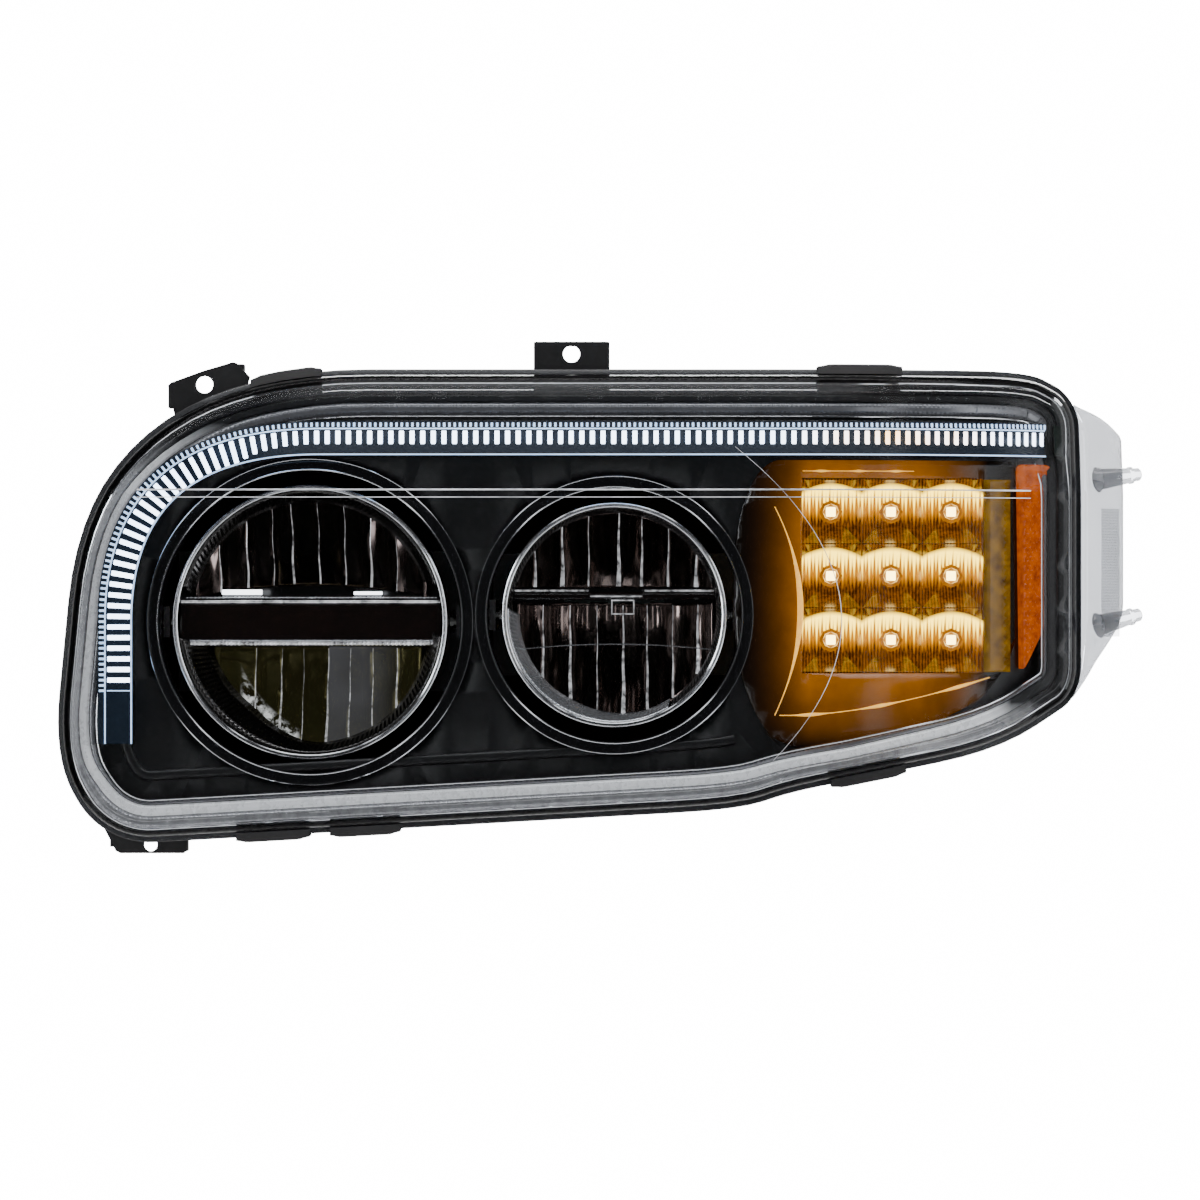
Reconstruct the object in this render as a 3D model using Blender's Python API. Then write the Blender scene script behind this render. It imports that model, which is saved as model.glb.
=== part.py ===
"""Left-hand truck headlight with two LED lamps, a running-light guide and a wrap-around turn signal.

The lamp looks along -Y, the outboard side is +X and +Z is up. The origin is the middle of the
assembly's bounding box. Every length in this file is in millimetres until place() makes an object.
"""

import math

import bmesh
import bpy
from mathutils import Matrix, Vector
from mathutils.geometry import delaunay_2d_cdt, intersect_point_line

MM = 0.001
FIT = 0.3  # gap between pieces that touch on the real lamp

# Overall size of the housing's rim as seen from the front, and the depth
WIDTH = 697.0
HEIGHT = 306.0
DEPTH = 260.0
LEFT = -353.0
RIGHT = LEFT + WIDTH
TOP = 147.0
BOTTOM = TOP - HEIGHT
FRONT = -DEPTH / 2
REAR = DEPTH / 2
BACK = REAR - 12.0  # outer face of the housing's back wall

# Clear outer lens
LENS_WALL = 3.0
WING = 36.0  # clear wing that stands out of the lens on the outboard side
WING_TOP = (126.0, 104.0)  # the wing grows from nothing to its full width between these heights
WING_FOOT = (-66.0, -4.0)
LIP = 3.4  # lens lip that the clips hold, out from its skirt
WRAP_START = RIGHT - 234.0  # where the front face starts to turn back
WRAP_END = RIGHT + 1.0
WRAP_DEPTH = 190.0
WRAP_SHARE = 0.985  # how much of a quarter turn the wrap makes
CREASE = 68.0  # height of the crease above which the lens leans back
LEAN = 0.45
ROLL_START = -250.0  # inboard and lower edges roll back from here
ROLL_LOW = BOTTOM + 69.0

# Housing
WALL = 3.0
TAPER = 0.16  # share by which the back is drawn in towards the spine
SPINE = (-230.0, 230.0)
RIM_REACH = 4.0  # rim outside the lens
CLIP_PLAY = 1.3  # between a spring clip's arms and what it holds
SEAL_PLAY = 0.9  # between the seal and the curved faces it is squeezed by
SEAT_REACH = 15.0  # inner edge of the bezel's seat, in from the lens edge

# Mounting tabs
UPPER_TAB = (-45.0, 4.0)
TAB_WALL = 4.0
TAB_HOLE = 5.5
TAB_HOLE_LOWER = 4.3

# Bezel
BEZEL_SET_BACK = 43.0
BEZEL_WALL = 2.5
BEZEL_LEAN_START = 92.0
BEZEL_LEAN = 0.65
STAND_OFF = 1.8  # trim on the bezel's curved face stands on ribs this high

# Lamps: centre (x, z), radius of the moving module, and the shelf that splits its reflector
LAMP_SCALE = min(WIDTH / 697.0, HEIGHT / 306.0)
LOW = {
    "name": "low",
    "x": LEFT + 164.5,
    "z": -16.0,
    "radius": 88.0 * LAMP_SCALE,
    "ring": 105.0 * LAMP_SCALE,
    "shelf": (-12.0, 12.0),
    "boards": ("upper", "lower"),
    "cap": 48.0,
}
HIGH = {
    "name": "high",
    "x": LEFT + 360.0,
    "z": -11.5,
    "radius": 72.0 * LAMP_SCALE,
    "ring": 89.5 * LAMP_SCALE,
    "shelf": (10.0, 14.5),
    "boards": ("lower",),
    "cap": 42.0,
}
PIVOT_DEPTH = FRONT + 100.0  # tilt axis
PIN_RADIUS = 4.0
MODULE_FRONT = FRONT + 50.0
MODULE_BACK = FRONT + 116.0
BOWL_DEPTH = 55.0
MIRROR_GAP = 3.5  # mirrors and shelf end this far inside the carrier's outer radius
ARM = 4.0  # thickness of the yoke's arms
AIM_LIFT = 0.74  # height of the aiming stud above the tilt axis, as a share of the radius
BUSH_FLANGE = 10.0
KNOB_RADIUS = 11.0
STUD_RADIUS = 3.0
BALL_RADIUS = 5.0
BALL_DEPTH = FRONT + 125.0

# Running-light guide
GUIDE_X = LEFT + 40.0
GUIDE_Z = TOP - 45.0
GUIDE_FOOT = -94.0
GUIDE_END = RIGHT - 51.0
GUIDE_WIDTH = 22.0
GUIDE_THICKNESS = 10.0

# Turn signal
CELLS = 3
SIGNAL_LEFT = RIGHT - 216.0
SIGNAL_TOP = 76.0
CELL = (39.0, 41.5)
CELL_HOLE = 6.0
SIGNAL_FRONT = FRONT + 68.0
SIGNAL_DEPTH = 24.0

# Fineness of the curved sheets
SPAN = 34.0
ROUND = 24

COLOURS = {
    "satin_black": ((0.018, 0.018, 0.02), 0.45, 0.0),
    "gloss_black": ((0.008, 0.008, 0.009), 0.12, 0.0),
    "clear": ((0.85, 0.87, 0.88), 0.05, 0.0),
    "smoked_chrome": ((0.22, 0.2, 0.2), 0.15, 1.0),
    "bright_chrome": ((0.8, 0.8, 0.82), 0.08, 1.0),
    "aluminium": ((0.6, 0.6, 0.62), 0.35, 1.0),
    "steel": ((0.5, 0.5, 0.5), 0.3, 1.0),
    "rubber": ((0.02, 0.02, 0.02), 0.8, 0.0),
    "board": ((0.02, 0.1, 0.04), 0.5, 0.0),
    "light_guide": ((0.75, 0.85, 1.0), 0.1, 0.0),
    "amber": ((1.0, 0.3, 0.02), 0.2, 0.0),
    "white_plastic": ((0.7, 0.7, 0.68), 0.4, 0.0),
}


# ---------------------------------------------------------------- depth of the curved faces


def wrap(x):
    """How far the front has turned back at x."""
    share = min(max((x - WRAP_START) / (WRAP_END - WRAP_START), 0.0), 1.0) * WRAP_SHARE
    return WRAP_DEPTH * (1.0 - math.sqrt(1.0 - share * share))


def lens_face(x, z):
    """Outer face of the lens: flat in the middle, wrapped outboard and leaning back above the crease."""
    inboard = 12.0 * (max(ROLL_START - x, 0.0) / 100.0) ** 2
    low = 10.0 * (max(ROLL_LOW - z, 0.0) / 80.0) ** 2
    return FRONT + wrap(x) + LEAN * max(z - CREASE, 0.0) + inboard + low


def bezel_face(x, z):
    """Front of the bezel: flat behind the lamps, then following the lens."""
    return FRONT + BEZEL_SET_BACK + wrap(x) + BEZEL_LEAN * max(z - BEZEL_LEAN_START, 0.0)


def behind(face, distance):
    """The depth function of a face set back by a distance in Y."""
    return lambda x, z: face(x, z) + distance


def inner_face(face, wall):
    """The depth function of the inner side of a wall that is measured square to the face."""

    def depth(x, z):
        slope_x = (face(x + 0.5, z) - face(x - 0.5, z)) / 1.0
        slope_z = (face(x, z + 0.5) - face(x, z - 0.5)) / 1.0
        return face(x, z) + wall * math.sqrt(1.0 + slope_x**2 + slope_z**2)

    return depth


def depth_at(depth, x, z):
    return depth(x, z) if callable(depth) else depth


# ---------------------------------------------------------------- outlines in the XZ plane


def rounded(corners):
    """Closed outline from corners of (x, z, reach before, reach after, fullness).

    Each corner is a conic that starts and ends its reaches away. Without a fullness it is a circular
    arc where both reaches are equal.
    """
    points = []
    for i, (x, z, reach_in, reach_out, fullness) in enumerate(corners):
        here = Vector((x, z))
        to_before = (Vector(corners[i - 1][:2]) - here).normalized()
        to_after = (Vector(corners[(i + 1) % len(corners)][:2]) - here).normalized()
        turn = math.pi - to_before.angle(to_after)
        weight = fullness or math.cos(turn / 2)
        steps = max(2, math.ceil(math.degrees(turn) / 18.0))
        start = here + to_before * reach_in
        end = here + to_after * reach_out
        for k in range(steps + 1):
            t = k / steps
            a, b, c = (1 - t) ** 2, 2 * weight * t * (1 - t), t * t
            points.append((start * a + here * b + end * c) / (a + b + c))
    return points


def with_spans(points, face, span):
    """The outline with long straight runs split, measured on the curved face."""
    result = []
    for i, here in enumerate(points):
        after = points[(i + 1) % len(points)]
        rise = face(*after) - face(*here)
        pieces = max(1, round(math.hypot((after - here).length, rise) / span))
        result.extend(here.lerp(after, k / pieces) for k in range(pieces))
    return result


def moved_out(points, distance):
    """A clockwise outline moved outwards by a distance, which may be a function of the point."""
    result = []
    for i, here in enumerate(points):
        along_in = (here - points[i - 1]).normalized()
        along_out = (points[(i + 1) % len(points)] - here).normalized()
        along = (along_in + along_out).normalized()
        normal = Vector((-along.y, along.x))
        reach = distance(here) if callable(distance) else distance
        result.append(here + normal * reach / max(along.dot(along_in), 0.5))
    return result


def drawn_in(points, share):
    """An outline drawn towards the spine that runs along the lamp's middle."""
    result = []
    for point in points:
        on_spine = Vector((min(max(point.x, SPINE[0]), SPINE[1]), 0.0))
        result.append(point.lerp(on_spine, share))
    return result


def circle(x, z, radius, count=ROUND):
    turns = [2 * math.pi * k / count for k in range(count)]
    return [Vector((x + radius * math.cos(a), z + radius * math.sin(a))) for a in turns]


def box_outline(x0, x1, z0, z1):
    return [Vector((x0, z1)), Vector((x1, z1)), Vector((x1, z0)), Vector((x0, z0))]


def lens_outline():
    """The edge of the lens's skirt as seen from the front, clockwise from the top outboard corner."""
    left, top, bottom = LEFT + RIM_REACH, TOP - RIM_REACH, BOTTOM + RIM_REACH
    side = RIGHT - WING
    return rounded(
        [
            (RIGHT - 67, top, 34, 10, None),
            (side, top - 15, 16, 18, None),
            (side, -62, 18, 14, None),
            (RIGHT - 90, -95, 28, 40, None),
            (RIGHT - 225, bottom + 34, 20, 15, None),
            (RIGHT - 257, bottom + 23, 15, 40, None),
            (left + 30, bottom, 31, 31, None),
            (left, bottom + 53, 25, 40, None),
            (left + 24, top, 147, 175, 1.0),
        ]
    )


LENS_EDGE = with_spans(lens_outline(), lens_face, SPAN)


def around(reach):
    """The lens edge moved out, or in where reach is negative."""
    return moved_out(LENS_EDGE, reach)


def wing_edge(start, share):
    """The lens edge moved out by start, and by a share of the wing where that stands out."""

    def reach(point):
        if point.x < RIGHT - WING - 20:
            return start
        above = (WING_TOP[0] - point.y) / (WING_TOP[0] - WING_TOP[1])
        below = (point.y - WING_FOOT[0]) / (WING_FOOT[1] - WING_FOOT[0])
        return start + (WING - LIP) * share * min(max(above, 0.0), max(below, 0.0), 1.0)

    return moved_out(LENS_EDGE, reach)


# ---------------------------------------------------------------- solids


def is_inside(point, loop):
    odd = False
    for i, a in enumerate(loop):
        b = loop[i - 1]
        if (a.y > point.y) != (b.y > point.y):
            odd ^= point.x < (b.x - a.x) * (point.y - a.y) / (b.y - a.y) + a.x
    return odd


def distance_to(point, loop):
    best = math.inf
    for i, a in enumerate(loop):
        nearest, share = intersect_point_line(point, loop[i - 1], a)
        nearest = nearest if 0 <= share <= 1 else (a if share > 1 else loop[i - 1])
        best = min(best, (Vector(nearest[:2]) - point).length)
    return best


def columns():
    """Stations along X with even spacing on the wrapped face."""
    stations = [LEFT]
    while stations[-1] < RIGHT:
        x = stations[-1]
        slope = (wrap(x + 8.0) - wrap(x)) / 8.0
        stations.append(x + max(SPAN / math.hypot(1.0, slope), 8.0))
    return stations


COLUMNS = columns()
ROWS = [CREASE + SPAN * k for k in range(-7, 3)]


class Solid:
    """A closed body made of sheets and bands that share their edge points."""

    def __init__(self):
        self.bm = bmesh.new()

    def face(self, points):
        self.bm.faces.new([self.bm.verts.new(p) for p in points])

    def sheet(self, outline, depth, holes=(), curved=False):
        """Fill an outline in the XZ plane, laid on a depth function."""
        loops = [outline, *holes]
        points = [p for loop in loops for p in loop]
        edges = []
        for loop in loops:
            start = len(edges)
            edges.extend((start + k, start + (k + 1) % len(loop)) for k in range(len(loop)))
        if curved:
            for x in COLUMNS:
                for z in ROWS:
                    point = Vector((x, z))
                    if is_inside(point, outline) and not any(is_inside(point, h) for h in holes):
                        if min(distance_to(point, loop) for loop in loops) > 7.0:
                            points.append(point)
        self.triangles(points, edges, depth, outline, holes)

    def triangles(self, points, edges, depth, outline, holes=()):
        """Add the triangles between points that lie in the outline and in none of the holes."""
        filled = delaunay_2d_cdt(points, edges, [], 0, 1e-5)
        for corners in filled[2]:
            a, b, c = (filled[0][k] for k in corners)
            middle = (a + b + c) / 3
            sliver = abs((b - a).cross(c - a)) < 0.002
            if sliver or not is_inside(middle, outline) or any(is_inside(middle, h) for h in holes):
                continue
            self.face([(p.x, depth_at(depth, p.x, p.y), p.y) for p in (a, b, c)])

    def bands(self, rings, closed=False):
        """Join rings of (outline, depth) one to the next."""
        pairs = list(zip(rings, rings[1:]))
        if closed:
            pairs.append((rings[-1], rings[0]))
        for (loop_a, depth_a), (loop_b, depth_b) in pairs:
            a = [(p.x, depth_at(depth_a, p.x, p.y), p.y) for p in loop_a]
            b = [(p.x, depth_at(depth_b, p.x, p.y), p.y) for p in loop_b]
            for i in range(len(a)):
                self.face([a[i - 1], a[i], b[i], b[i - 1]])

    def prism(self, outline, plane, low, high):
        """Extrude an outline given in the plane "xy", "xz" or "yz" between two heights."""

        def lifted(p, height):
            if plane == "xy":
                return (p[0], p[1], height)
            if plane == "xz":
                return (p[0], height, p[1])
            return (height, p[0], p[1])

        bottom = [lifted(p, low) for p in outline]
        top = [lifted(p, high) for p in outline]
        self.face(bottom)
        self.face(top)
        for i in range(len(outline)):
            self.face([bottom[i - 1], bottom[i], top[i], top[i - 1]])

    def box(self, x, y, z):
        self.prism([(x[0], y[0]), (x[1], y[0]), (x[1], y[1]), (x[0], y[1])], "xy", *z)

    def turned(self, x, z, profile, ring=False, segments=ROUND):
        """Spin a profile of (radius, y) about the line along Y through (x, z)."""
        verts = [self.bm.verts.new((x + r, y, z)) for r, y in profile]
        pairs = list(zip(verts, verts[1:]))
        if ring:
            pairs.append((verts[-1], verts[0]))
        edges = [self.bm.edges.new(pair) for pair in pairs]
        turn = {"cent": (x, 0, z), "axis": (0, 1, 0), "angle": 2 * math.pi, "steps": segments}
        bmesh.ops.spin(self.bm, geom=verts + edges, use_merge=True, **turn)

    def place(self, name, material, origin=(0, 0, 0), smooth=True):
        """Close the body and make it an object in metres with its origin at a point."""
        bm = self.bm
        bmesh.ops.remove_doubles(bm, verts=bm.verts, dist=0.01)
        bmesh.ops.dissolve_degenerate(bm, edges=bm.edges, dist=0.001)
        bmesh.ops.recalc_face_normals(bm, faces=bm.faces)
        bmesh.ops.translate(bm, verts=bm.verts, vec=-Vector(origin))
        bmesh.ops.scale(bm, verts=bm.verts, vec=(MM, MM, MM))
        mesh = bpy.data.meshes.new(name)
        bm.to_mesh(mesh)
        bm.free()
        if smooth:
            mesh.shade_smooth()
            mesh.set_sharp_from_angle(angle=math.radians(35))
        item = bpy.data.objects.new(name, mesh)
        item.location = Vector(origin) * MM
        bpy.context.collection.objects.link(item)
        mesh.materials.append(surface(material))
        return item


def surface(name):
    """The Principled material of a finish, made the first time it is asked for."""
    found = bpy.data.materials.get(name)
    if found:
        return found
    colour, roughness, metallic = COLOURS[name]
    material = bpy.data.materials.new(name)
    material.use_nodes = True
    shader = material.node_tree.nodes["Principled BSDF"]
    shader.inputs["Base Color"].default_value = (*colour, 1.0)
    shader.inputs["Roughness"].default_value = roughness
    shader.inputs["Metallic"].default_value = metallic
    return material


def combine(target, tool, operation):
    """Join or cut an object with a tool that stays out of the build."""
    tool.hide_render = True
    tool.display_type = "WIRE"
    modifier = target.modifiers.new(tool.name, "BOOLEAN")
    modifier.operation = operation
    modifier.solver = "EXACT"
    modifier.object = tool


def panel(outline, front, back, holes=(), curved=False):
    """A plate between two depth functions."""
    solid = Solid()
    solid.sheet(outline, front, holes, curved)
    solid.sheet(outline, back, holes, curved)
    for loop in (outline, *holes):
        solid.bands([(loop, front), (loop, back)])
    return solid


# ---------------------------------------------------------------- lens, seal and housing


def build_lens():
    lens = Solid()
    inside = inner_face(lens_face, LENS_WALL)
    front_edge = around(-12)
    inner_edge = around(-14.5)
    edge = around(0)
    lip = [wing_edge(2.0, 0.12), wing_edge(2.7, 0.5), wing_edge(LIP, 1.0)]
    lens.sheet(front_edge, lens_face, curved=True)
    lens.bands(
        [
            (front_edge, lens_face),
            (around(-3), behind(lens_face, 5)),
            (edge, behind(lens_face, 14)),
            (edge, behind(lens_face, 19)),
            *[(ring, behind(lens_face, 19)) for ring in lip],
            *[(ring, behind(lens_face, 23.6)) for ring in lip[::-1]],
            (edge, behind(lens_face, 23.6)),
            (edge, behind(lens_face, 34)),
            (around(-LENS_WALL), behind(lens_face, 34)),
            (around(-LENS_WALL), behind(lens_face, 17)),
            (inner_edge, inside),
        ]
    )
    lens.sheet(inner_edge, inside, curved=True)
    item = lens.place("outer_lens", "clear")
    for number, (z, rise) in enumerate(((77.0, 0.2), (-18.5, 0.45))):
        combine(item, build_lens_boss(f"boss_tool_{number}", z, rise), "UNION")


def build_lens_boss(name, z, rise):
    """A blunt cone that stands out of the lens's wing."""
    x = RIGHT - 20.0
    slope = wrap(x + 0.5) - wrap(x - 0.5)
    along = Vector((slope, -1.0, rise)).normalized()
    foot = Vector((x, lens_face(x, z) + 19, z)) - along * 1.4
    length = 28.0 / along.x
    boss = Solid()
    boss.turned(0, 0, [(0, 0), (7.0, 0), (4.2, length), (0, length)], segments=12)
    turn = Vector((0, 1, 0)).rotation_difference(along).to_matrix().to_4x4()
    bmesh.ops.transform(boss.bm, matrix=Matrix.Translation(foot) @ turn, verts=boss.bm.verts)
    return boss.place(name, "clear")


def build_seal():
    seal = Solid()
    inner, outer = around(-LENS_WALL - FIT), around(FIT)
    front, back = behind(lens_face, 34 + 1.6 * SEAL_PLAY), behind(lens_face, 38 - SEAL_PLAY)
    seal.bands([(inner, front), (outer, front), (outer, back), (inner, back)], closed=True)
    seal.place("lens_seal", "rubber")


def seat_face(x, z):
    """The housing's seat, right behind the bezel."""
    return bezel_face(x, z) + BEZEL_WALL + FIT


VENTS = ((RIGHT - 88.0, 62.0), (LEFT + 62.0, -86.0))


def stretch_between(x0, x1, above, reach):
    """Four stations along the rim between x0 and x1, moved out by a reach."""
    edge = around(reach)
    upper = [(p.x, p.y) for p in edge if (p.y > 0) == above]
    upper.sort()
    result = []
    for k in range(4):
        x = x0 + (x1 - x0) * k / 3
        before = max((p for p in upper if p[0] <= x), key=lambda p: p[0])
        after = min((p for p in upper if p[0] > x), key=lambda p: p[0])
        share = (x - before[0]) / (after[0] - before[0])
        result.append(Vector((x, before[1] + (after[1] - before[1]) * share)))
    return result


def tab_outlines():
    """Name, outline, hole (x, z, radius) and front face of each mounting tab.

    The inboard and upper tabs grow out of the rim. The lower tab stands right behind it, so that the
    rim hides half of its hole.
    """
    inboard = [(LEFT + 72, TOP - 10), (LEFT + 116, TOP + 5), (LEFT + 125, TOP - 5)]
    inboard = [Vector(p) for p in inboard] + stretch_between(LEFT + 77, LEFT + 123, True, 2)[::-1]
    start, end = UPPER_TAB
    upper = [Vector((start, TOP + 18)), Vector((end, TOP + 18))]
    upper += stretch_between(start, end, True, 2)[::-1]
    lower = [(LEFT + 85, BOTTOM + 7), (LEFT + 85, BOTTOM - 6), (LEFT + 40, BOTTOM - 6)]
    lower = [Vector(p) for p in [*lower, (LEFT + 32, BOTTOM + 9)]]
    return (
        ("inboard", inboard, (LEFT + 95.7, TOP - 10.0, TAB_HOLE), FRONT + 60.0),
        ("upper", upper, (start + 24.4, TOP + 10.0, TAB_HOLE), FRONT + 66.0),
        ("lower", lower, (LEFT + 61.5, BOTTOM - 0.4, TAB_HOLE_LOWER), FRONT + 52.0),
    )


TABS = tab_outlines()


def build_housing():
    """One moulding: rim with a trough for the lens, seat for the bezel, tapered walls and back."""
    outer_back = drawn_in(around(-2), TAPER)
    inner_back = moved_out(outer_back, -WALL)
    holes = [circle(lamp["x"], lamp["z"], lamp["cap"] - 7.5) for lamp in (LOW, HIGH)]
    holes += [circle(lamp["x"], stud_height(lamp), 7.0, 12) for lamp in (LOW, HIGH)]
    holes += [circle(x, z, 4.5, 12) for x, z in VENTS]
    housing = Solid()
    housing.sheet(outer_back, BACK, holes)
    housing.sheet(inner_back, BACK - WALL, holes)
    for hole in holes:
        housing.bands([(hole, BACK), (hole, BACK - WALL)])
    housing.bands(
        [
            (outer_back, BACK),
            (around(-2), behind(lens_face, 44)),
            (around(4), behind(lens_face, 44)),
            (around(4), behind(lens_face, 24)),
            (around(0.6), behind(lens_face, 24)),
            (around(0.6), behind(lens_face, 38)),
            (around(-3.6), behind(lens_face, 38)),
            (around(-3.6), behind(lens_face, 30)),
            (around(-6.1), behind(lens_face, 30)),
            (around(-6.1), seat_face),
            (around(-SEAT_REACH), seat_face),
            (around(-SEAT_REACH), behind(seat_face, WALL)),
            (around(-6.1), behind(seat_face, WALL)),
            (inner_back, BACK - WALL),
        ]
    )
    item = housing.place("housing", "satin_black")
    for name, outline, hole, front in TABS:
        tab = panel(outline, front, front + TAB_WALL, [circle(*hole, 12)])
        combine(item, tab.place(f"tab_tool_{name}", "satin_black"), "UNION")


def build_clips():
    """Spring clips that squeeze the lens lip against the housing's rim."""
    spans = [(LEFT + 126, LEFT + 171, True), (RIGHT - 206, RIGHT - 151, True)]
    spans += [(LEFT + 118, LEFT + 165, False), (LEFT + 178, LEFT + 223, False)]
    spans += [(RIGHT - 198, RIGHT - 150, False)]
    for number, (x0, x1, above) in enumerate(spans, start=1):
        inner, outer = stretch_between(x0, x1, above, 0.9), stretch_between(x0, x1, above, 7.3)
        lip, back = stretch_between(x0, x1, above, 4 + CLIP_PLAY), behind(lens_face, 47.2)
        section = [
            (inner, behind(lens_face, 15.6)),
            (outer, behind(lens_face, 15.6)),
            (outer, back),
            (inner, back),
            (inner, behind(lens_face, 44 + CLIP_PLAY)),
            (lip, behind(lens_face, 44 + CLIP_PLAY)),
            (lip, behind(lens_face, 19 - CLIP_PLAY)),
            (inner, behind(lens_face, 19 - CLIP_PLAY)),
        ]
        rings = [[(p.x, depth(p.x, p.y), p.y) for p, depth in station] for station in stations_of(section)]
        clip = Solid()
        clip.face(rings[0])
        clip.face(rings[-1])
        for a, b in zip(rings, rings[1:]):
            for i in range(len(a)):
                clip.face([a[i - 1], a[i], b[i], b[i - 1]])
        clip.place(f"lens_clip_{number}", "satin_black", smooth=False)


def stations_of(section):
    """Turn a section of (stretch, depth) into one list of (point, depth) for each station."""
    return [[(stretch[k], depth) for stretch, depth in section] for k in range(len(section[0][0]))]


# ---------------------------------------------------------------- bezel, light guide and signal


def build_bezel():
    holes = [circle(lamp["x"], lamp["z"], lamp["ring"] - 5.0, 32) for lamp in (LOW, HIGH)]
    x1 = SIGNAL_LEFT + CELLS * CELL[0]
    z0 = SIGNAL_TOP - CELLS * CELL[1]
    holes.append(box_outline(SIGNAL_LEFT - 1, x1 + 1, z0 - 1, SIGNAL_TOP + 1))
    edge, field, back = around(-6.4), around(-SEAT_REACH), behind(bezel_face, BEZEL_WALL)
    bezel = Solid()
    bezel.sheet(field, bezel_face, holes, curved=True)
    bezel.sheet(field, back, holes, curved=True)
    bezel.bands([(field, bezel_face), (edge, bezel_face), (edge, back), (field, back)])
    for hole in holes:
        bezel.bands([(hole, bezel_face), (hole, back)])
    bezel.place("bezel", "satin_black")
    for lamp in (LOW, HIGH):
        outer, inner, face = lamp["ring"], lamp["ring"] - 8.0, FRONT + BEZEL_SET_BACK
        ring = Solid()
        profile = [
            (outer, face - FIT),
            (outer, face - 2.5),
            (inner, face - 4.0),
            (inner, face + 27.0),
            (inner + 2.5, face + 27.0),
            (inner + 2.5, face - FIT),
        ]
        ring.turned(lamp["x"], lamp["z"], profile, ring=True, segments=32)
        ring.place(f"{lamp['name']}_well_ring", "gloss_black")


def guide_outline(width):
    """The light guide's band: up the inboard side, round the corner and along the top."""
    corner = Vector((GUIDE_X, GUIDE_Z))
    start, end = corner - Vector((0, 118)), corner + Vector((131, 0))
    middle = [Vector((GUIDE_X, z)) for z in (GUIDE_FOOT, (GUIDE_FOOT + start.y) / 2)]
    for k in range(9):
        t = k / 8
        middle.append(start * (1 - t) ** 2 + corner * 2 * t * (1 - t) + end * t * t)
    runs = [x for x in COLUMNS if end.x + 12 < x < GUIDE_END - 8]
    middle += [Vector((x, GUIDE_Z)) for x in [*runs, GUIDE_END]]
    sides = {1: [], -1: []}
    for i, here in enumerate(middle):
        along = (middle[min(i + 1, len(middle) - 1)] - middle[max(i - 1, 0)]).normalized()
        for side, points in sides.items():
            points.append(here + Vector((-along.y, along.x)) * side * width / 2)
    return sides[1] + sides[-1][::-1]


def build_guide():
    band = guide_outline(GUIDE_WIDTH)
    back = -STAND_OFF - 3.2
    panel(band, behind(bezel_face, back - GUIDE_THICKNESS), behind(bezel_face, back)).place(
        "running_light_guide", "light_guide"
    )
    panel(band, behind(bezel_face, back + FIT), behind(bezel_face, -STAND_OFF)).place(
        "running_light_backing", "white_plastic"
    )
    end = box_outline(GUIDE_END + 0.5, GUIDE_END + 6.5, GUIDE_Z - 10, GUIDE_Z + 10)
    panel(end, behind(bezel_face, -13), behind(bezel_face, -STAND_OFF)).place("running_light_board", "board")


def build_signal():
    """Reflector with a grid of funnel-shaped cells, its LED board, the tray and the side reflector."""
    deep = SIGNAL_FRONT + SIGNAL_DEPTH
    reflector = Solid()
    board = Solid()
    x1 = SIGNAL_LEFT + CELLS * CELL[0]
    z0 = SIGNAL_TOP - CELLS * CELL[1]
    holes = []
    for column in range(CELLS):
        for row in range(CELLS):
            left, top = SIGNAL_LEFT + column * CELL[0], SIGNAL_TOP - row * CELL[1]
            cell = box_outline(left, left + CELL[0], top - CELL[1], top)
            x, z = left + CELL[0] / 2, top - CELL[1] / 2
            hole = box_outline(x - CELL_HOLE, x + CELL_HOLE, z - CELL_HOLE, z + CELL_HOLE)
            holes.append((x, z))
            reflector.bands(
                [(cell, SIGNAL_FRONT), (hole, deep - 5), (hole, deep), (cell, deep)],
            )
    xs = [SIGNAL_LEFT + CELL[0] * k for k in range(CELLS + 1)]
    zs = [SIGNAL_TOP - CELL[1] * k for k in range(CELLS + 1)]
    edge = [Vector((x, zs[0])) for x in xs] + [Vector((xs[-1], z)) for z in zs[1:]]
    edge += [Vector((x, zs[-1])) for x in xs[-2::-1]] + [Vector((xs[0], z)) for z in zs[-2:0:-1]]
    reflector.bands([(edge, SIGNAL_FRONT), (edge, deep)])
    reflector.place("signal_reflector", "amber", smooth=False)
    plate = box_outline(SIGNAL_LEFT, x1, z0, SIGNAL_TOP)
    pads = [box_outline(x - 4, x + 4, z - 4, z + 4) for x, z in holes]
    board.sheet(plate, deep + FIT + 1.6)
    board.sheet(plate, deep + FIT, pads)
    board.bands([(plate, deep + FIT), (plate, deep + FIT + 1.6)])
    for pad in pads:
        board.sheet(pad, deep - 3)
        board.bands([(pad, deep - 3), (pad, deep + FIT)])
    board.place("signal_led_board", "board", smooth=False)
    tray = Solid()
    outer = box_outline(SIGNAL_LEFT - 4, x1 + 4, z0 - 4, SIGNAL_TOP + 4)
    inner = box_outline(SIGNAL_LEFT - FIT, x1 + FIT, z0 - FIT, SIGNAL_TOP + FIT)
    front, back = deep - 8, deep + 8
    lid = back - 3
    tray.bands([(outer, back), (outer, front), (inner, front), (inner, lid)])
    tray.sheet(inner, lid)
    tray.sheet(outer, back)
    tray.place("signal_tray", "satin_black", smooth=False)
    tip = rounded(
        [
            (RIGHT - 51, 86, 6, 6, None),
            (RIGHT - 51, -10, 20, 30, None),
            (RIGHT - 72, -52, 5, 3, None),
            (RIGHT - 74, 86, 4, 4, None),
        ]
    )
    panel(tip, behind(bezel_face, -8), behind(bezel_face, -STAND_OFF)).place("side_reflector", "amber")


# ---------------------------------------------------------------- lamp modules and their aiming gear


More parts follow.
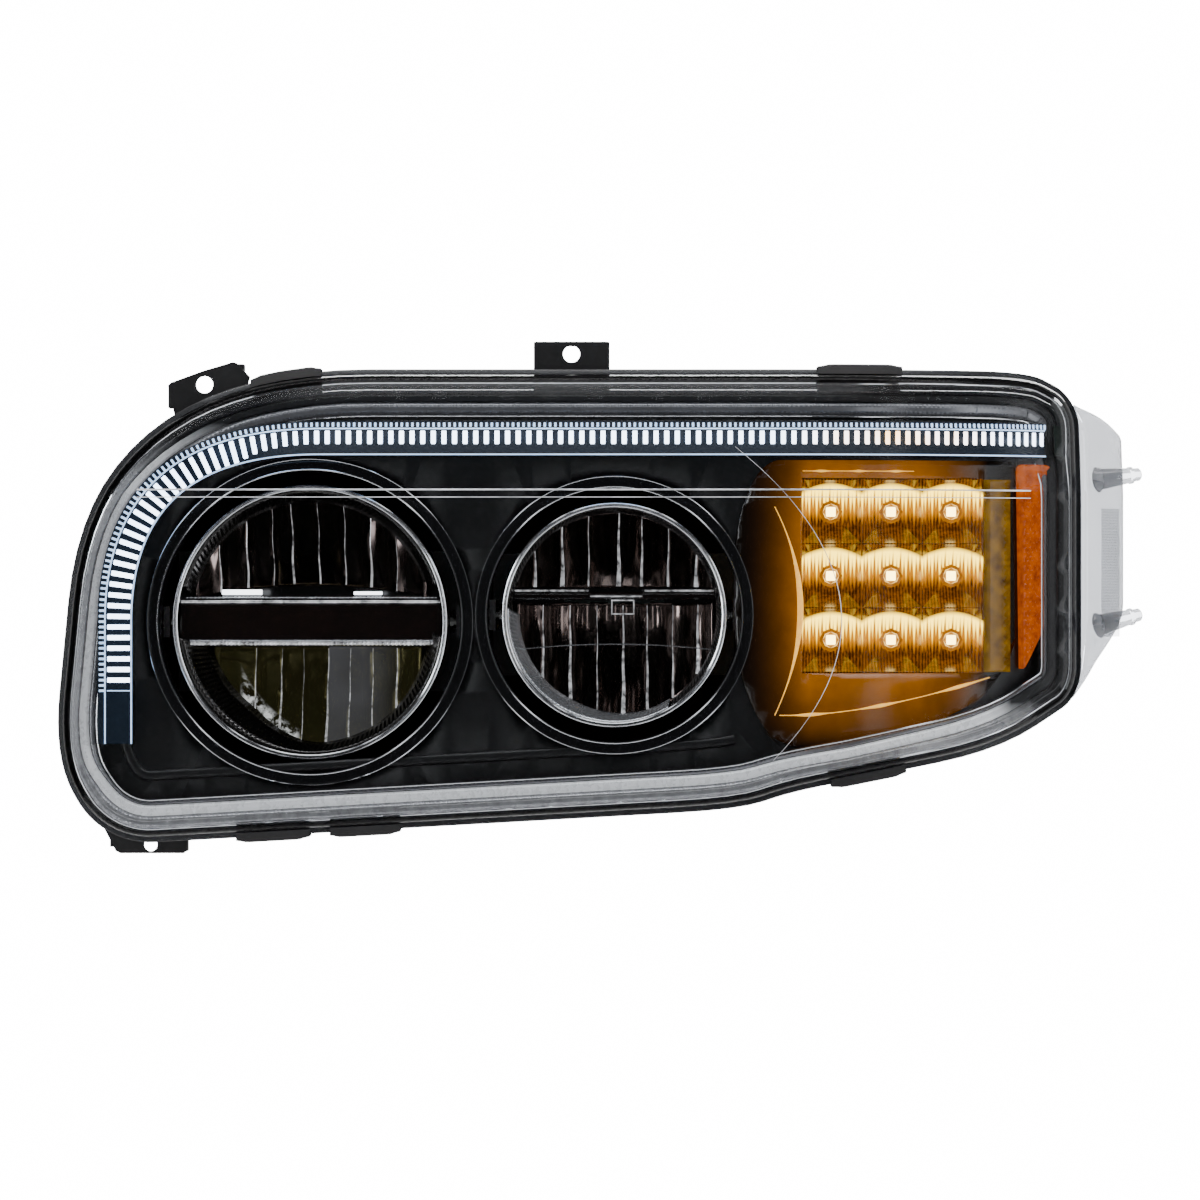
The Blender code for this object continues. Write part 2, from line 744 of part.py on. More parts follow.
def stud_height(lamp):
    """The aiming stud's height: its knob clears the rear cap, and so its bush clears the yoke."""
    return lamp["z"] + max(AIM_LIFT * lamp["radius"], lamp["cap"] + KNOB_RADIUS + 0.25)


def bowl(lamp):
    """Depth function of a lamp's reflector bowl, open to the front."""
    reach = lamp["radius"] - MIRROR_GAP
    floor = MODULE_FRONT + 3.0 + BOWL_DEPTH

    def depth(x, z):
        share = ((x - lamp["x"]) ** 2 + (z - lamp["z"]) ** 2) / reach**2
        return floor - BOWL_DEPTH * share

    return depth


def disc_part(lamp, z0, z1, radius):
    """The part of a lamp's disc between two heights above its centre, clockwise."""
    z0, z1 = max(z0, -radius), min(z1, radius)
    low, high = math.asin(z0 / radius), math.asin(z1 / radius)
    steps = max(2, math.ceil((high - low) / 0.26))
    turns = [high + (low - high) * k / steps for k in range(steps + 1)]
    right = [Vector((radius * math.cos(a), radius * math.sin(a))) for a in turns]
    left = [Vector((-p.x, p.y)) for p in right[::-1]]
    loop = right + left
    unique = [p for i, p in enumerate(loop) if (p - loop[i - 1]).length > 0.1]
    return [p + Vector((lamp["x"], lamp["z"])) for p in unique]


def reflector_part(lamp, name, z0, z1):
    """One mirror of the bowl, with points on inner arcs so that it stays round."""
    depth = bowl(lamp)
    outline = disc_part(lamp, z0, z1, lamp["radius"] - MIRROR_GAP)
    solid = Solid()
    inner = [p for share in (0.35, 0.7) for p in circle(lamp["x"], lamp["z"], lamp["radius"] * share, 16)]
    for offset in (0.0, 2.0):
        points = outline + [p for p in inner if is_inside(p, outline) and distance_to(p, outline) > 3]
        edges = [(k, (k + 1) % len(outline)) for k in range(len(outline))]
        solid.triangles(points, edges, behind(depth, offset), outline)
    solid.bands([(outline, depth), (outline, behind(depth, 2.0))])
    solid.place(f"{lamp['name']}_{name}_reflector", "smoked_chrome", pivot(lamp))


def pivot(lamp):
    return (lamp["x"], PIVOT_DEPTH, lamp["z"])


def build_module(lamp):
    """The tilting part of a lamp: every object's origin is on the tilt axis."""
    name, x, z, radius = lamp["name"], lamp["x"], lamp["z"], lamp["radius"]
    low, high = lamp["shelf"]
    axis = pivot(lamp)
    carrier = Solid()
    carrier.turned(
        x,
        z,
        [
            (0, MODULE_BACK),
            (radius + 0.5, MODULE_BACK),
            (radius + 0.5, MODULE_FRONT),
            (radius - 2.0, MODULE_FRONT),
            (radius - 2.0, MODULE_BACK - 4),
            (0, MODULE_BACK - 4),
        ],
    )
    carrier.place(f"{name}_carrier", "gloss_black", axis)
    ring = Solid()
    front = MODULE_FRONT - FIT
    profile = [(radius - 3, front), (radius - 3, front - 6), (radius - 1, front - 8)]
    profile += [(radius + 0.5, front - 6), (radius + 0.5, front)]
    ring.turned(x, z, profile, ring=True, segments=32)
    ring.place(f"{name}_trim_ring", "bright_chrome", axis)
    reflector_part(lamp, "upper", high + 4.0, radius)
    reflector_part(lamp, "lower", -radius, low - 4.0)
    shelf = disc_part(lamp, low, high, radius - MIRROR_GAP)
    panel(shelf, MODULE_FRONT + 5, MODULE_BACK - 6).place(f"{name}_shelf", "gloss_black", axis)
    for side in lamp["boards"]:
        build_led_board(lamp, side)
    build_heat_sink(lamp)
    socket = Solid()
    socket_profile = [(7.5, MODULE_BACK + FIT), (10, MODULE_BACK + FIT)]
    socket_profile += [(10, MODULE_BACK + 15), (7.5, MODULE_BACK + 15)]
    socket.turned(x, stud_height(lamp), socket_profile, ring=True, segments=16)
    socket.place(f"{name}_aim_socket", "white_plastic", axis)
    for side, label in ((-1, "inboard"), (1, "outboard")):
        pin = Solid()
        start = radius + 0.5 + FIT
        pin.turned(0, 0, [(0, 0), (7, 0), (7, 2), (PIN_RADIUS, 2), (PIN_RADIUS, 11), (0, 11)], segments=16)
        turn = Matrix.Rotation(math.radians(-90 * side), 4, "Z")
        spot = Matrix.Translation((x + side * start, PIVOT_DEPTH, z))
        bmesh.ops.transform(pin.bm, matrix=spot @ turn, verts=pin.bm.verts)
        pin.place(f"{name}_pivot_pin_{label}", "steel", axis)


def build_led_board(lamp, side):
    """A strip board on the shelf with three LEDs."""
    low, high = lamp["shelf"]
    sign, base = (1, high) if side == "upper" else (-1, low)
    half = lamp["radius"] * 0.45
    heights = (FIT, FIT + 1.4, FIT + 2.4)
    outline = [(-half, heights[0]), (-half, heights[1])]
    for share in (-0.6, 0.0, 0.6):
        outline += [(half * share - 4, heights[1]), (half * share - 4, heights[2])]
        outline += [(half * share + 4, heights[2]), (half * share + 4, heights[1])]
    outline += [(half, heights[1]), (half, heights[0])]
    placed = [(lamp["x"] + px, lamp["z"] + base + sign * pz) for px, pz in outline]
    board = Solid()
    board.prism(placed, "xz", MODULE_FRONT + 20, MODULE_FRONT + 34)
    board.place(f"{lamp['name']}_led_board_{side}", "board", pivot(lamp), smooth=False)


def build_heat_sink(lamp):
    """A comb of upright fins on the carrier's back."""
    half, fins = lamp["radius"] * 0.44, 7
    base, root, tip = MODULE_BACK + FIT, MODULE_BACK + 5, MODULE_BACK + 36
    pitch = 2 * half / (fins - 1)
    outline = [(-half - 1.2, base), (-half - 1.2, tip)]
    for k in range(fins):
        middle = -half + k * pitch
        if k:
            outline += [(middle - 1.2, root), (middle - 1.2, tip)]
        outline.append((middle + 1.2, tip))
        if k < fins - 1:
            outline.append((middle + 1.2, root))
    outline.append((half + 1.2, base))
    placed = [(lamp["x"] + px, py) for px, py in outline]
    sink = Solid()
    sink.prism(placed, "xy", lamp["z"] - half, lamp["z"] + half * 0.9)
    sink.place(f"{lamp['name']}_heat_sink", "aluminium", pivot(lamp), smooth=False)


def build_yoke(lamp):
    """Fixed frame with two arms that hold the pivot pins."""
    x, z, cap = lamp["x"], lamp["z"], lamp["cap"]
    inner = lamp["radius"] + 5.0
    outer = inner + ARM
    foot = BACK - WALL - FIT
    plate = box_outline(x - outer, x + outer, z - cap + 1, z + cap - 1)
    yoke = panel(plate, foot - 4, foot, [circle(x, z, cap - 6)])
    item = yoke.place(f"{lamp['name']}_yoke", "aluminium", smooth=False)
    for side, label in ((-1, "left"), (1, "right")):
        arm = Solid()
        edges = sorted((x + side * inner, x + side * outer))
        arm.box(edges, (PIVOT_DEPTH - 12, foot - 2), (z - 10, z + 10))
        combine(item, arm.place(f"{lamp['name']}_arm_tool_{label}", "aluminium"), "UNION")
    drill = Solid()
    hole = [(PIVOT_DEPTH + p.x, z + p.y) for p in circle(0, 0, PIN_RADIUS + 0.5, 16)]
    drill.prism(hole, "yz", x - 120, x + 120)
    combine(item, drill.place(f"{lamp['name']}_pin_drill", "aluminium"), "DIFFERENCE")


def build_adjuster(lamp):
    """Aiming gear: fixed bush, sliding ball stud and the knob that is turned from behind."""
    name, x, z = lamp["name"], lamp["x"], stud_height(lamp)
    bush = Solid()
    flange = BACK - WALL - FIT
    profile = [(3.5, flange - 22), (6.5, flange - 22), (6.5, flange - 5)]
    profile += [(BUSH_FLANGE, flange - 5), (BUSH_FLANGE, flange)]
    profile += [(6.5, flange), (6.5, BACK), (3.5, BACK)]
    bush.turned(x, z, profile, ring=True, segments=16)
    bush.place(f"{name}_adjuster_bush", "white_plastic", (x, BACK, z))
    stud = Solid()
    end = BACK - 17.0
    profile = [(0, BALL_DEPTH - BALL_RADIUS)]
    for degrees in (-55, -20, 20):
        angle = math.radians(degrees)
        profile.append((BALL_RADIUS * math.cos(angle), BALL_DEPTH + BALL_RADIUS * math.sin(angle)))
    profile += [(STUD_RADIUS, BALL_DEPTH + 4.0), (STUD_RADIUS, end), (0, end)]
    stud.turned(x, z, profile, segments=16)
    stud.place(f"{name}_aim_stud", "steel", (x, BALL_DEPTH, z))
    knob = Solid()
    outer = BACK + 0.8
    profile = [(0, end + 5), (3.1, end + 5), (3.1, outer), (KNOB_RADIUS - 0.5, outer)]
    profile.append((KNOB_RADIUS, outer + 7))
    profile += [(9.5, outer + 8.5), (3, outer + 8.5), (3, outer + 4), (0, outer + 4)]
    knob.turned(x, z, profile, segments=16)
    knob.place(f"{name}_adjuster_knob", "gloss_black", (x, BACK, z))


# ---------------------------------------------------------------- fittings on the back


def build_cap(lamp):
    """Bayonet cap with a grip bar, and its O-ring."""
    name, x, z, radius = lamp["name"], lamp["x"], lamp["z"], lamp["cap"]
    plug = radius - 8.2
    cap = Solid()
    profile = [(0, BACK - 6), (plug, BACK - 6), (plug, BACK + 2.8), (radius - 2.5, BACK + 2.8)]
    profile += [(radius - 2.5, BACK + 0.6), (radius, BACK + 0.6), (radius, BACK + 5), (0, BACK + 5)]
    cap.turned(x, z, profile, segments=32)
    item = cap.place(f"{name}_rear_cap", "satin_black", (x, BACK, z))
    grip = Solid()
    grip.box((x - radius * 0.75, x + radius * 0.75), (BACK + 3, REAR), (z - 5, z + 5))
    combine(item, grip.place(f"{name}_grip_tool", "satin_black"), "UNION")
    seal = Solid()
    near, far = plug + 0.8, radius - 2.8
    section = [(near, BACK + FIT), (far, BACK + FIT), (far, BACK + 2.5), (near, BACK + 2.5)]
    seal.turned(x, z, section, ring=True)
    seal.place(f"{name}_cap_seal", "rubber", (x, BACK, z))


def build_vents():
    for label, (x, z) in zip(("outboard", "inboard"), VENTS):
        vent = Solid()
        profile = [(0, BACK - 6), (4.2, BACK - 6), (4.2, BACK + FIT), (7, BACK + FIT), (9, BACK + 3)]
        profile += [(9, BACK + 8), (0, BACK + 8)]
        vent.turned(x, z, profile, segments=16)
        vent.place(f"breather_vent_{label}", "rubber")


def build_connector(name, x, z, half_width, half_height):
    """A shrouded socket: open box with its contacts' floor at the bottom."""
    outer = box_outline(x - half_width, x + half_width, z - half_height, z + half_height)
    hollow = box_outline(x - half_width + 2, x + half_width - 2, z - half_height + 2, z + half_height - 2)
    flange = box_outline(x - half_width - 4, x + half_width + 4, z - half_height - 4, z + half_height + 4)
    foot = BACK + FIT
    socket = Solid()
    socket.sheet(flange, foot)
    socket.bands([(flange, foot), (flange, foot + 2), (outer, foot + 2), (outer, REAR - 0.5)])
    socket.bands([(outer, REAR - 0.5), (hollow, REAR - 0.5), (hollow, foot + 2)])
    socket.sheet(hollow, foot + 2)
    socket.place(name, "gloss_black", smooth=False)


def build_driver():
    """Finned LED driver screwed to the back."""
    x0, x1 = HIGH["x"] + 62, HIGH["x"] + 138
    z0, z1 = -34.0, 30.0
    foot, root, tip = BACK + FIT, BACK + 5, REAR - 1
    outline = [(x0, foot), (x1, foot)]
    fins = 8
    pitch = (x1 - x0 - 3) / (fins - 1)
    for k in reversed(range(fins)):
        left = x0 + k * pitch
        outline += [(left + 3, tip), (left, tip)]
        if k:
            outline += [(left, root), (left - pitch + 3, root)]
    driver = Solid()
    driver.prism(outline, "xy", z0, z1)
    driver.place("led_driver", "aluminium", smooth=False)


def clear_scene():
    for item in list(bpy.data.objects):
        bpy.data.objects.remove(item, do_unlink=True)


def build_headlight():
    clear_scene()
    build_lens()
    build_seal()
    build_housing()
    build_clips()
    build_bezel()
    build_guide()
    build_signal()
    for lamp in (LOW, HIGH):
        build_module(lamp)
        build_yoke(lamp)
        build_adjuster(lamp)
        build_cap(lamp)
    build_vents()
    build_connector("main_connector", RIGHT - 150, 28, 19, 13)
    build_connector("signal_connector", RIGHT - 150, -26, 14, 11)
    build_driver()


build_headlight()
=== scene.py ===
# %% [markdown]
# # A truck headlight, piece by piece
# The headlight is a black housing with a clear wrap-round lens, two LED lamps that tilt, a ribbed
# running-light guide, an amber turn signal and a side reflector. The frame gives every piece its place.
# New pieces are drawn in millimetres and scaled to metres when they are finished.

# %% Load the frame
import math

import bmesh
import bpy
from mathutils import Matrix, Vector


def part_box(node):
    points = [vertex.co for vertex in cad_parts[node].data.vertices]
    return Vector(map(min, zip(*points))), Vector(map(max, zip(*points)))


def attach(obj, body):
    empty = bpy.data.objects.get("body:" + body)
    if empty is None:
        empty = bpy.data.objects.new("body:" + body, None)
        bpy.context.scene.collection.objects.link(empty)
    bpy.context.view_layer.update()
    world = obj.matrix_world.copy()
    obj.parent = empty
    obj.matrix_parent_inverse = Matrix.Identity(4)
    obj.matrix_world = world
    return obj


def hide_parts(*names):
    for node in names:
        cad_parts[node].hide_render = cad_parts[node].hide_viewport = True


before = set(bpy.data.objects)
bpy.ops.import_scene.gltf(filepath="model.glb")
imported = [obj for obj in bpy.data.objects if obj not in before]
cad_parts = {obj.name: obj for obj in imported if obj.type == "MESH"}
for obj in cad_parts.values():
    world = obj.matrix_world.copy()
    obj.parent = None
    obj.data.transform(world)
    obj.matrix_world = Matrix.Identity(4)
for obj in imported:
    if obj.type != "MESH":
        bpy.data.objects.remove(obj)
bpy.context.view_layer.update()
MM = 0.001


def box_mm(node):
    """The lowest and highest corner of a frame node in millimetres."""
    low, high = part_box(node)
    return Vector(low) / MM, Vector(high) / MM


# %% [markdown]
# ## The faces that everything follows
# The lens is flat in front of the lamps, wraps round the outboard end and leans back above a crease.
# The bezel behind it follows the same wrap. A circular sweep gives the wrap one formula that every
# curved piece shares, so they all stay the same distance apart.

# %% Shared faces
RIM = 4.0  # housing rim outside the lens
RIGHT = box_mm("side_reflector")[1].x + 51.0
LEFT = RIGHT - 697.0
TOP = box_mm("housing")[1].z - 18.0
FRONT = box_mm("outer_lens")[0].y
REAR = box_mm("low_rear_cap")[1].y
BACK = REAR - 12.0
BOTTOM = TOP - 306.0
WING = 36.0
LIP = 3.4
WRAP_START = RIGHT - 234.0
WRAP_END = RIGHT + 1.0
WRAP_DEPTH, WRAP_FULL = 190.0, 0.985  # depth of a whole quarter turn, and how much of it is used
CREASE = 68.0
BEZEL_FRONT = FRONT + 43.0
BOWL_BACK, BOWL_SAG = FRONT + 108.0, 55.0


def wrap(x):
    """How far the front has turned back at x."""
    share = min(max((x - WRAP_START) / (WRAP_END - WRAP_START), 0.0), 1.0) * WRAP_FULL
    return WRAP_DEPTH * (1.0 - math.sqrt(1.0 - share * share))


def lens_face(x, z):
    """Outer face of the lens."""
    inboard = 12.0 * (max(LEFT + 103.0 - x, 0.0) / 100.0) ** 2
    low = 10.0 * (max(-90.0 - z, 0.0) / 80.0) ** 2
    return FRONT + wrap(x) + 0.45 * max(z - CREASE, 0.0) + inboard + low


def bezel_face(x, z):
    """Front of the bezel."""
    return BEZEL_FRONT + wrap(x) + 0.65 * max(z - 92.0, 0.0)


def behind(face, distance):
    """The same face, further back."""
    return lambda x, z: face(x, z) + distance


def level(y):
    """A flat face across the lamp."""
    return lambda x, z: y


print("lens front", round(FRONT, 1), "rear", round(REAR, 1), "width", RIGHT - LEFT)

# %% [markdown]
# ## The lens edge
# The lens's skirt is a run of conic corners. Everything at the rim is an offset of this one line, in
# or out, so it is worked out once, finely, with extra stops where the wrap bends quickest.

# %% Outline and offsets


def rounded(corners, turn_step=5.0):
    """Closed outline from corners of (x, z, reach before, reach after) and, if not round, fullness."""
    points = []
    for i, (x, z, reach_in, reach_out, *fullness) in enumerate(corners):
        here = Vector((x, z))
        to_before = (Vector(corners[i - 1][:2]) - here).normalized()
        to_after = (Vector(corners[(i + 1) % len(corners)][:2]) - here).normalized()
        turn = math.pi - to_before.angle(to_after)
        weight = fullness[0] if fullness else math.cos(turn / 2)
        steps = max(3, math.ceil(math.degrees(turn) / turn_step))
        start, end = here + to_before * reach_in, here + to_after * reach_out
        for k in range(steps + 1):
            t = k / steps
            a, b, c = (1 - t) ** 2, 2 * weight * t * (1 - t), t * t
            points.append((start * a + here * b + end * c) / (a + b + c))
    return points


def with_spans(points, face, span):
    """The outline with long straight runs split, measured on the curved face."""
    result = []
    for i, here in enumerate(points):
        after = points[(i + 1) % len(points)]
        rise = face(*after) - face(*here)
        pieces = max(1, round(math.hypot((after - here).length, rise) / span))
        result.extend(here.lerp(after, k / pieces) for k in range(pieces))
    return result


def moved_out(points, distance):
    """A clockwise outline moved outwards by a distance, which may be a function of the point."""
    result = []
    for i, here in enumerate(points):
        along_in = (here - points[i - 1]).normalized()
        along_out = (points[(i + 1) % len(points)] - here).normalized()
        along = (along_in + along_out).normalized()
        reach = distance(here) if callable(distance) else distance
        result.append(here + Vector((-along.y, along.x)) * reach / max(along.dot(along_in), 0.5))
    return result


edge_left, edge_top, edge_low, edge_side = LEFT + RIM, TOP - RIM, BOTTOM + RIM, RIGHT - WING
LENS_CORNERS = [
    (RIGHT - 67, edge_top, 34, 10),
    (edge_side, edge_top - 15, 16, 18),
    (edge_side, -62, 18, 14),
    (RIGHT - 90, -95, 28, 40),
    (119, BOTTOM + 38, 20, 15),
    (87, BOTTOM + 27, 15, 40),
    (edge_left + 30, edge_low, 31, 31),
    (edge_left, edge_low + 53, 25, 40),
    (edge_left + 24, edge_top, 147, 175, 1.0),
]
LENS_EDGE = with_spans(rounded(LENS_CORNERS), lens_face, 9.0)
FINE_EDGE = with_spans(LENS_EDGE, lens_face, 1.5)


def around(reach, edge=LENS_EDGE):
    """The lens edge moved out, or in where reach is negative."""
    return moved_out(edge, reach)


def smooth_share(value, start, end):
    """0 before start, 1 after end, and a smooth rise between them."""
    t = min(max((value - start) / (end - start), 0.0), 1.0)
    return t * t * (3.0 - 2.0 * t)


print("lens edge:", len(LENS_EDGE), "stops, fine:", len(FINE_EDGE))

# %% [markdown]
# ## Three ways to make a surface
# Long bands are grids bent to follow rows of points. Broad faces are an outline that is filled, cut
# across by planes and pressed onto a curved face. Round pieces are a profile that is spun. Each
# finished mesh is merged, turned outwards, scaled to metres and given to the body that carries it.

# %% Surface helpers


def bend_grid(bm, rows, closed=True, ring=False):
    """Bend a grid through rows of points. closed joins each row's ends and ring joins the rows."""
    columns, lines = len(rows[0]), len(rows)
    nx = columns if closed else columns - 1
    ny = lines if ring else lines - 1
    verts = bmesh.ops.create_grid(bm, x_segments=nx, y_segments=ny, size=0.5)["verts"]
    for vert in verts:
        i = round((vert.co.x + 0.5) * nx) % columns
        j = round((vert.co.y + 0.5) * ny) % lines
        vert.co = rows[j][i]
    return verts


def bar(bm, rows):
    """Bend a grid into a bar: the rows run along it and join round it, and its ends stay open."""
    bend_grid(bm, rows, closed=False, ring=True)


def laid(points, depth):
    """Outline points put at their depth on a face."""
    return [Vector((p.x, depth(p.x, p.y), p.y)) for p in points]


def fill_sheet(bm, loops, depth, xs=(), zs=()):
    """Fill the first loop, leave the others open, cut it by planes and press it onto a face."""
    edges = []
    for loop in loops:
        verts = [bm.verts.new((p.x, 0.0, p.y)) for p in loop]
        edges += [bm.edges.new((verts[k - 1], verts[k])) for k in range(len(verts))]
    filled = bmesh.ops.triangle_fill(bm, use_beauty=True, edges=edges, normal=(0, -1, 0))
    region = set(filled["geom"]) | set(edges)
    for place, normal in [((x, 0, 0), (1, 0, 0)) for x in xs] + [((0, 0, z), (0, 0, 1)) for z in zs]:
        live = {item for item in region if item.is_valid}
        geom = list(live) + list({v for e in live if isinstance(e, bmesh.types.BMEdge) for v in e.verts})
        cut = bmesh.ops.bisect_plane(bm, geom=geom, dist=0.001, plane_co=place, plane_no=normal)
        region = {g for g in cut["geom"] if not isinstance(g, bmesh.types.BMVert)}
    faces = [g for g in region if g.is_valid and isinstance(g, bmesh.types.BMFace)]
    for vert in {v for face in faces for v in face.verts}:
        vert.co.y = depth(vert.co.x, vert.co.z)
    return faces


def turned(bm, centre, base, profile, steps=96, ring=False):
    """Spin a profile of (radius, y from base) about the line along Y through a centre (x, z)."""
    verts = [bm.verts.new((centre[0] + r, base + y, centre[1])) for r, y in profile]
    pairs = list(zip(verts, verts[1:])) + ([(verts[-1], verts[0])] if ring else [])
    edges = [bm.edges.new(pair) for pair in pairs]
    turn = {"cent": (centre[0], 0, centre[1]), "axis": (0, 1, 0), "angle": 2 * math.pi}
    bmesh.ops.spin(bm, geom=verts + edges, steps=steps, use_merge=True, **turn)


def block(bm, place, edge, segments=1):
    """A unit cube put in place by a matrix, with bevelled edges."""
    verts = bmesh.ops.create_cube(bm, size=1.0, matrix=place)["verts"]
    edges = list({e for v in verts for e in v.link_edges})
    shape = {"affect": "EDGES", "profile": 0.5, "material": -1}
    bmesh.ops.bevel(bm, geom=edges, offset=edge, segments=segments, **shape)


def bevelled_box(bm, low, high, edge=0.6, segments=2):
    """A box between two corners with rounded edges."""
    low, high = Vector(low), Vector(high)
    block(bm, Matrix.Translation((low + high) / 2) @ Matrix.Diagonal((*(high - low), 1)), edge, segments)


def angles(count):
    """Angles at an even step, once round."""
    return [2 * math.pi * k / count for k in range(count)]


def circle(centre, radius, count=96):
    """A clockwise circle round a centre (x, z)."""
    x, z = centre
    return [Vector((x + radius * math.cos(a), z - radius * math.sin(a))) for a in angles(count)]


def rectangle(x0, x1, z0, z1):
    """A clockwise rectangle."""
    return [Vector((x0, z1)), Vector((x1, z1)), Vector((x1, z0)), Vector((x0, z0))]


def add_object(name, data):
    """A new object in the scene."""
    made = bpy.data.objects.new(name, data)
    bpy.context.scene.collection.objects.link(made)
    return made


def finish_piece(bm, name, body, material, slot, replaces=(), sharp=32.0, wall=0.0, fill=False):
    """Clean a mesh, make it an object in metres and tie it to its body."""
    bmesh.ops.remove_doubles(bm, verts=bm.verts, dist=0.004)
    if fill:
        bmesh.ops.holes_fill(bm, edges=bm.edges, sides=0)
    bmesh.ops.recalc_face_normals(bm, faces=bm.faces)
    if wall and sum(face.normal.y * face.calc_area() for face in bm.faces) > 0:
        bmesh.ops.reverse_faces(bm, faces=bm.faces)
    bmesh.ops.scale(bm, verts=bm.verts, vec=(MM, MM, MM))
    mesh = bpy.data.meshes.new(name)
    bm.to_mesh(mesh)
    bm.free()
    mesh.shade_smooth()
    mesh.set_sharp_from_angle(angle=math.radians(sharp))
    mesh.materials.append(material)
    piece = add_object(name, mesh)
    if wall:
        shell = piece.modifiers.new("wall", "SOLIDIFY")
        shell.thickness = wall * MM
        shell.offset = -1.0
    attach(piece, body)
    if replaces:
        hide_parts(*replaces)
    print(f"{name}: {len(mesh.polygons)} faces")


def fix_piece(bm, name, material, slot, replaces=(), **options):
    """Finish a piece that is fixed to the lamp body."""
    finish_piece(bm, name, "lamp_body", material, slot, replaces, **options)


# %% [markdown]
# ## Shader maths through one small class
# Every finish here is a Principled shader with a few textures in front of it. A socket that can be
# added, multiplied and mixed keeps each finish down to the lines that say what it looks like.

# %% Shader helpers


class Socket:
    """An output socket that can be used in sums."""

    def __init__(self, tree, output):
        self.tree = tree
        self.output = output

    def maths(self, operation, *others):
        node = self.tree.nodes.new("ShaderNodeMath")
        node.operation = operation
        for socket, value in zip(node.inputs, (self, *others)):
            connect(self.tree, value, socket)
        return Socket(self.tree, node.outputs[0])

    def __add__(self, other):
        return self.maths("ADD", other)

    def __radd__(self, other):
        return self.maths("ADD", other)

    def __mul__(self, other):
        return self.maths("MULTIPLY", other)

    def __rmul__(self, other):
        return self.maths("MULTIPLY", other)

    def __sub__(self, other):
        return self.maths("SUBTRACT", other)

    def __rsub__(self, other):
        return Socket(self.tree, self.maths("MULTIPLY", -1.0).output).maths("ADD", other)

    def __truediv__(self, other):
        return self.maths("DIVIDE", other)

    def clamp(self, low=0.0, high=1.0):
        return self.maths("MAXIMUM", low).maths("MINIMUM", high)


def connect(tree, value, socket):
    """Link a Socket, or set a plain value."""
    if isinstance(value, Socket):
        tree.links.new(value.output, socket)
    else:
        socket.default_value = value


class Finish:
    """A material with a Principled shader and the object's own coordinates in millimetres."""

    def __init__(self, name, colour, roughness, metallic=0.0, **values):
        self.material = bpy.data.materials.new(name)
        self.material.use_nodes = True
        self.tree = self.material.node_tree
        self.shader = self.tree.nodes["Principled BSDF"]
        self.set(Base_Color=(*colour, 1.0), Roughness=roughness, Metallic=metallic, **values)

    def set(self, **values):
        """Set or link the shader's inputs; an underscore stands for a space."""
        for key, value in values.items():
            connect(self.tree, value, self.shader.inputs[key.replace("_", " ")])
        return self

    def node(self, kind, settings=None, out=0, **inputs):
        """Any other node, with its settings and its inputs by name."""
        node = self.tree.nodes.new(kind)
        for key, value in (settings or {}).items():
            setattr(node, key, value)
        for key, value in inputs.items():
            connect(self.tree, value, node.inputs[key.replace("_", " ")])
        return Socket(self.tree, node.outputs[out])

    def place(self):
        """The object's own coordinates."""
        return self.node("ShaderNodeTexCoord", out=3)

    def axes(self):
        """X, Y and Z of the object's coordinates in millimetres."""
        split = self.tree.nodes.new("ShaderNodeSeparateXYZ")
        self.tree.links.new(self.place().output, split.inputs[0])
        return [Socket(self.tree, out) * (1.0 / MM) for out in split.outputs]

    def noise(self, scale, detail=3.0, roughness=0.5):
        inputs = {"Vector": self.place(), "Scale": scale, "Detail": detail, "Roughness": roughness}
        return self.node("ShaderNodeTexNoise", **inputs)

    def blend(self, factor, dark, light):
        """A colour between two, by a factor that varies over the surface."""
        node = self.tree.nodes.new("ShaderNodeMix")
        node.data_type = "RGBA"
        connect(self.tree, factor, node.inputs[0])
        connect(self.tree, (*dark, 1.0) if isinstance(dark, tuple) else dark, node.inputs[6])
        connect(self.tree, (*light, 1.0) if isinstance(light, tuple) else light, node.inputs[7])
        return Socket(self.tree, node.outputs[2])

    def bump(self, height, strength=0.2, distance=0.0004):
        self.set(Normal=self.node("ShaderNodeBump", Height=height, Strength=strength, Distance=distance))
        return self

    def see_through(self, tint, share):
        """Mix the shader with a tinted see-through one; share is how much of the shader is seen."""
        tinted = self.node("ShaderNodeBsdfTransparent", Color=(*tint, 1.0))
        mixed = self.node("ShaderNodeMixShader", Fac=share)
        for position, shader in ((1, tinted.output), (2, self.shader.outputs[0])):
            self.tree.links.new(shader, mixed.output.node.inputs[position])
        self.tree.links.new(mixed.output, self.tree.nodes["Material Output"].inputs["Surface"])
        return self.material


# %% [markdown]
# ## Plastics, metals and rubber
# The mouldings are black with a fine spark-eroded grain, the trim is vacuum-metallised, and the hidden
# brackets are cast. Each finish varies its roughness a little, because an even gloss looks drawn.

# %% Finishes


def grained(name, dark, light, roughness, spread, grain, strength=0.25, metallic=0.0, **values):
    """A moulded or cast surface: two close colours, cloudy gloss and a fine grain."""
    finish = Finish(name, dark, roughness, metallic, **values)
    cloud = finish.noise(38.0, 4.0)
    finish.set(
        Base_Color=finish.blend(cloud, dark, light),
        Roughness=cloud * spread + (roughness - spread / 2),
    )
    return finish.bump(finish.noise(grain, 2.0), strength, 0.00025).material


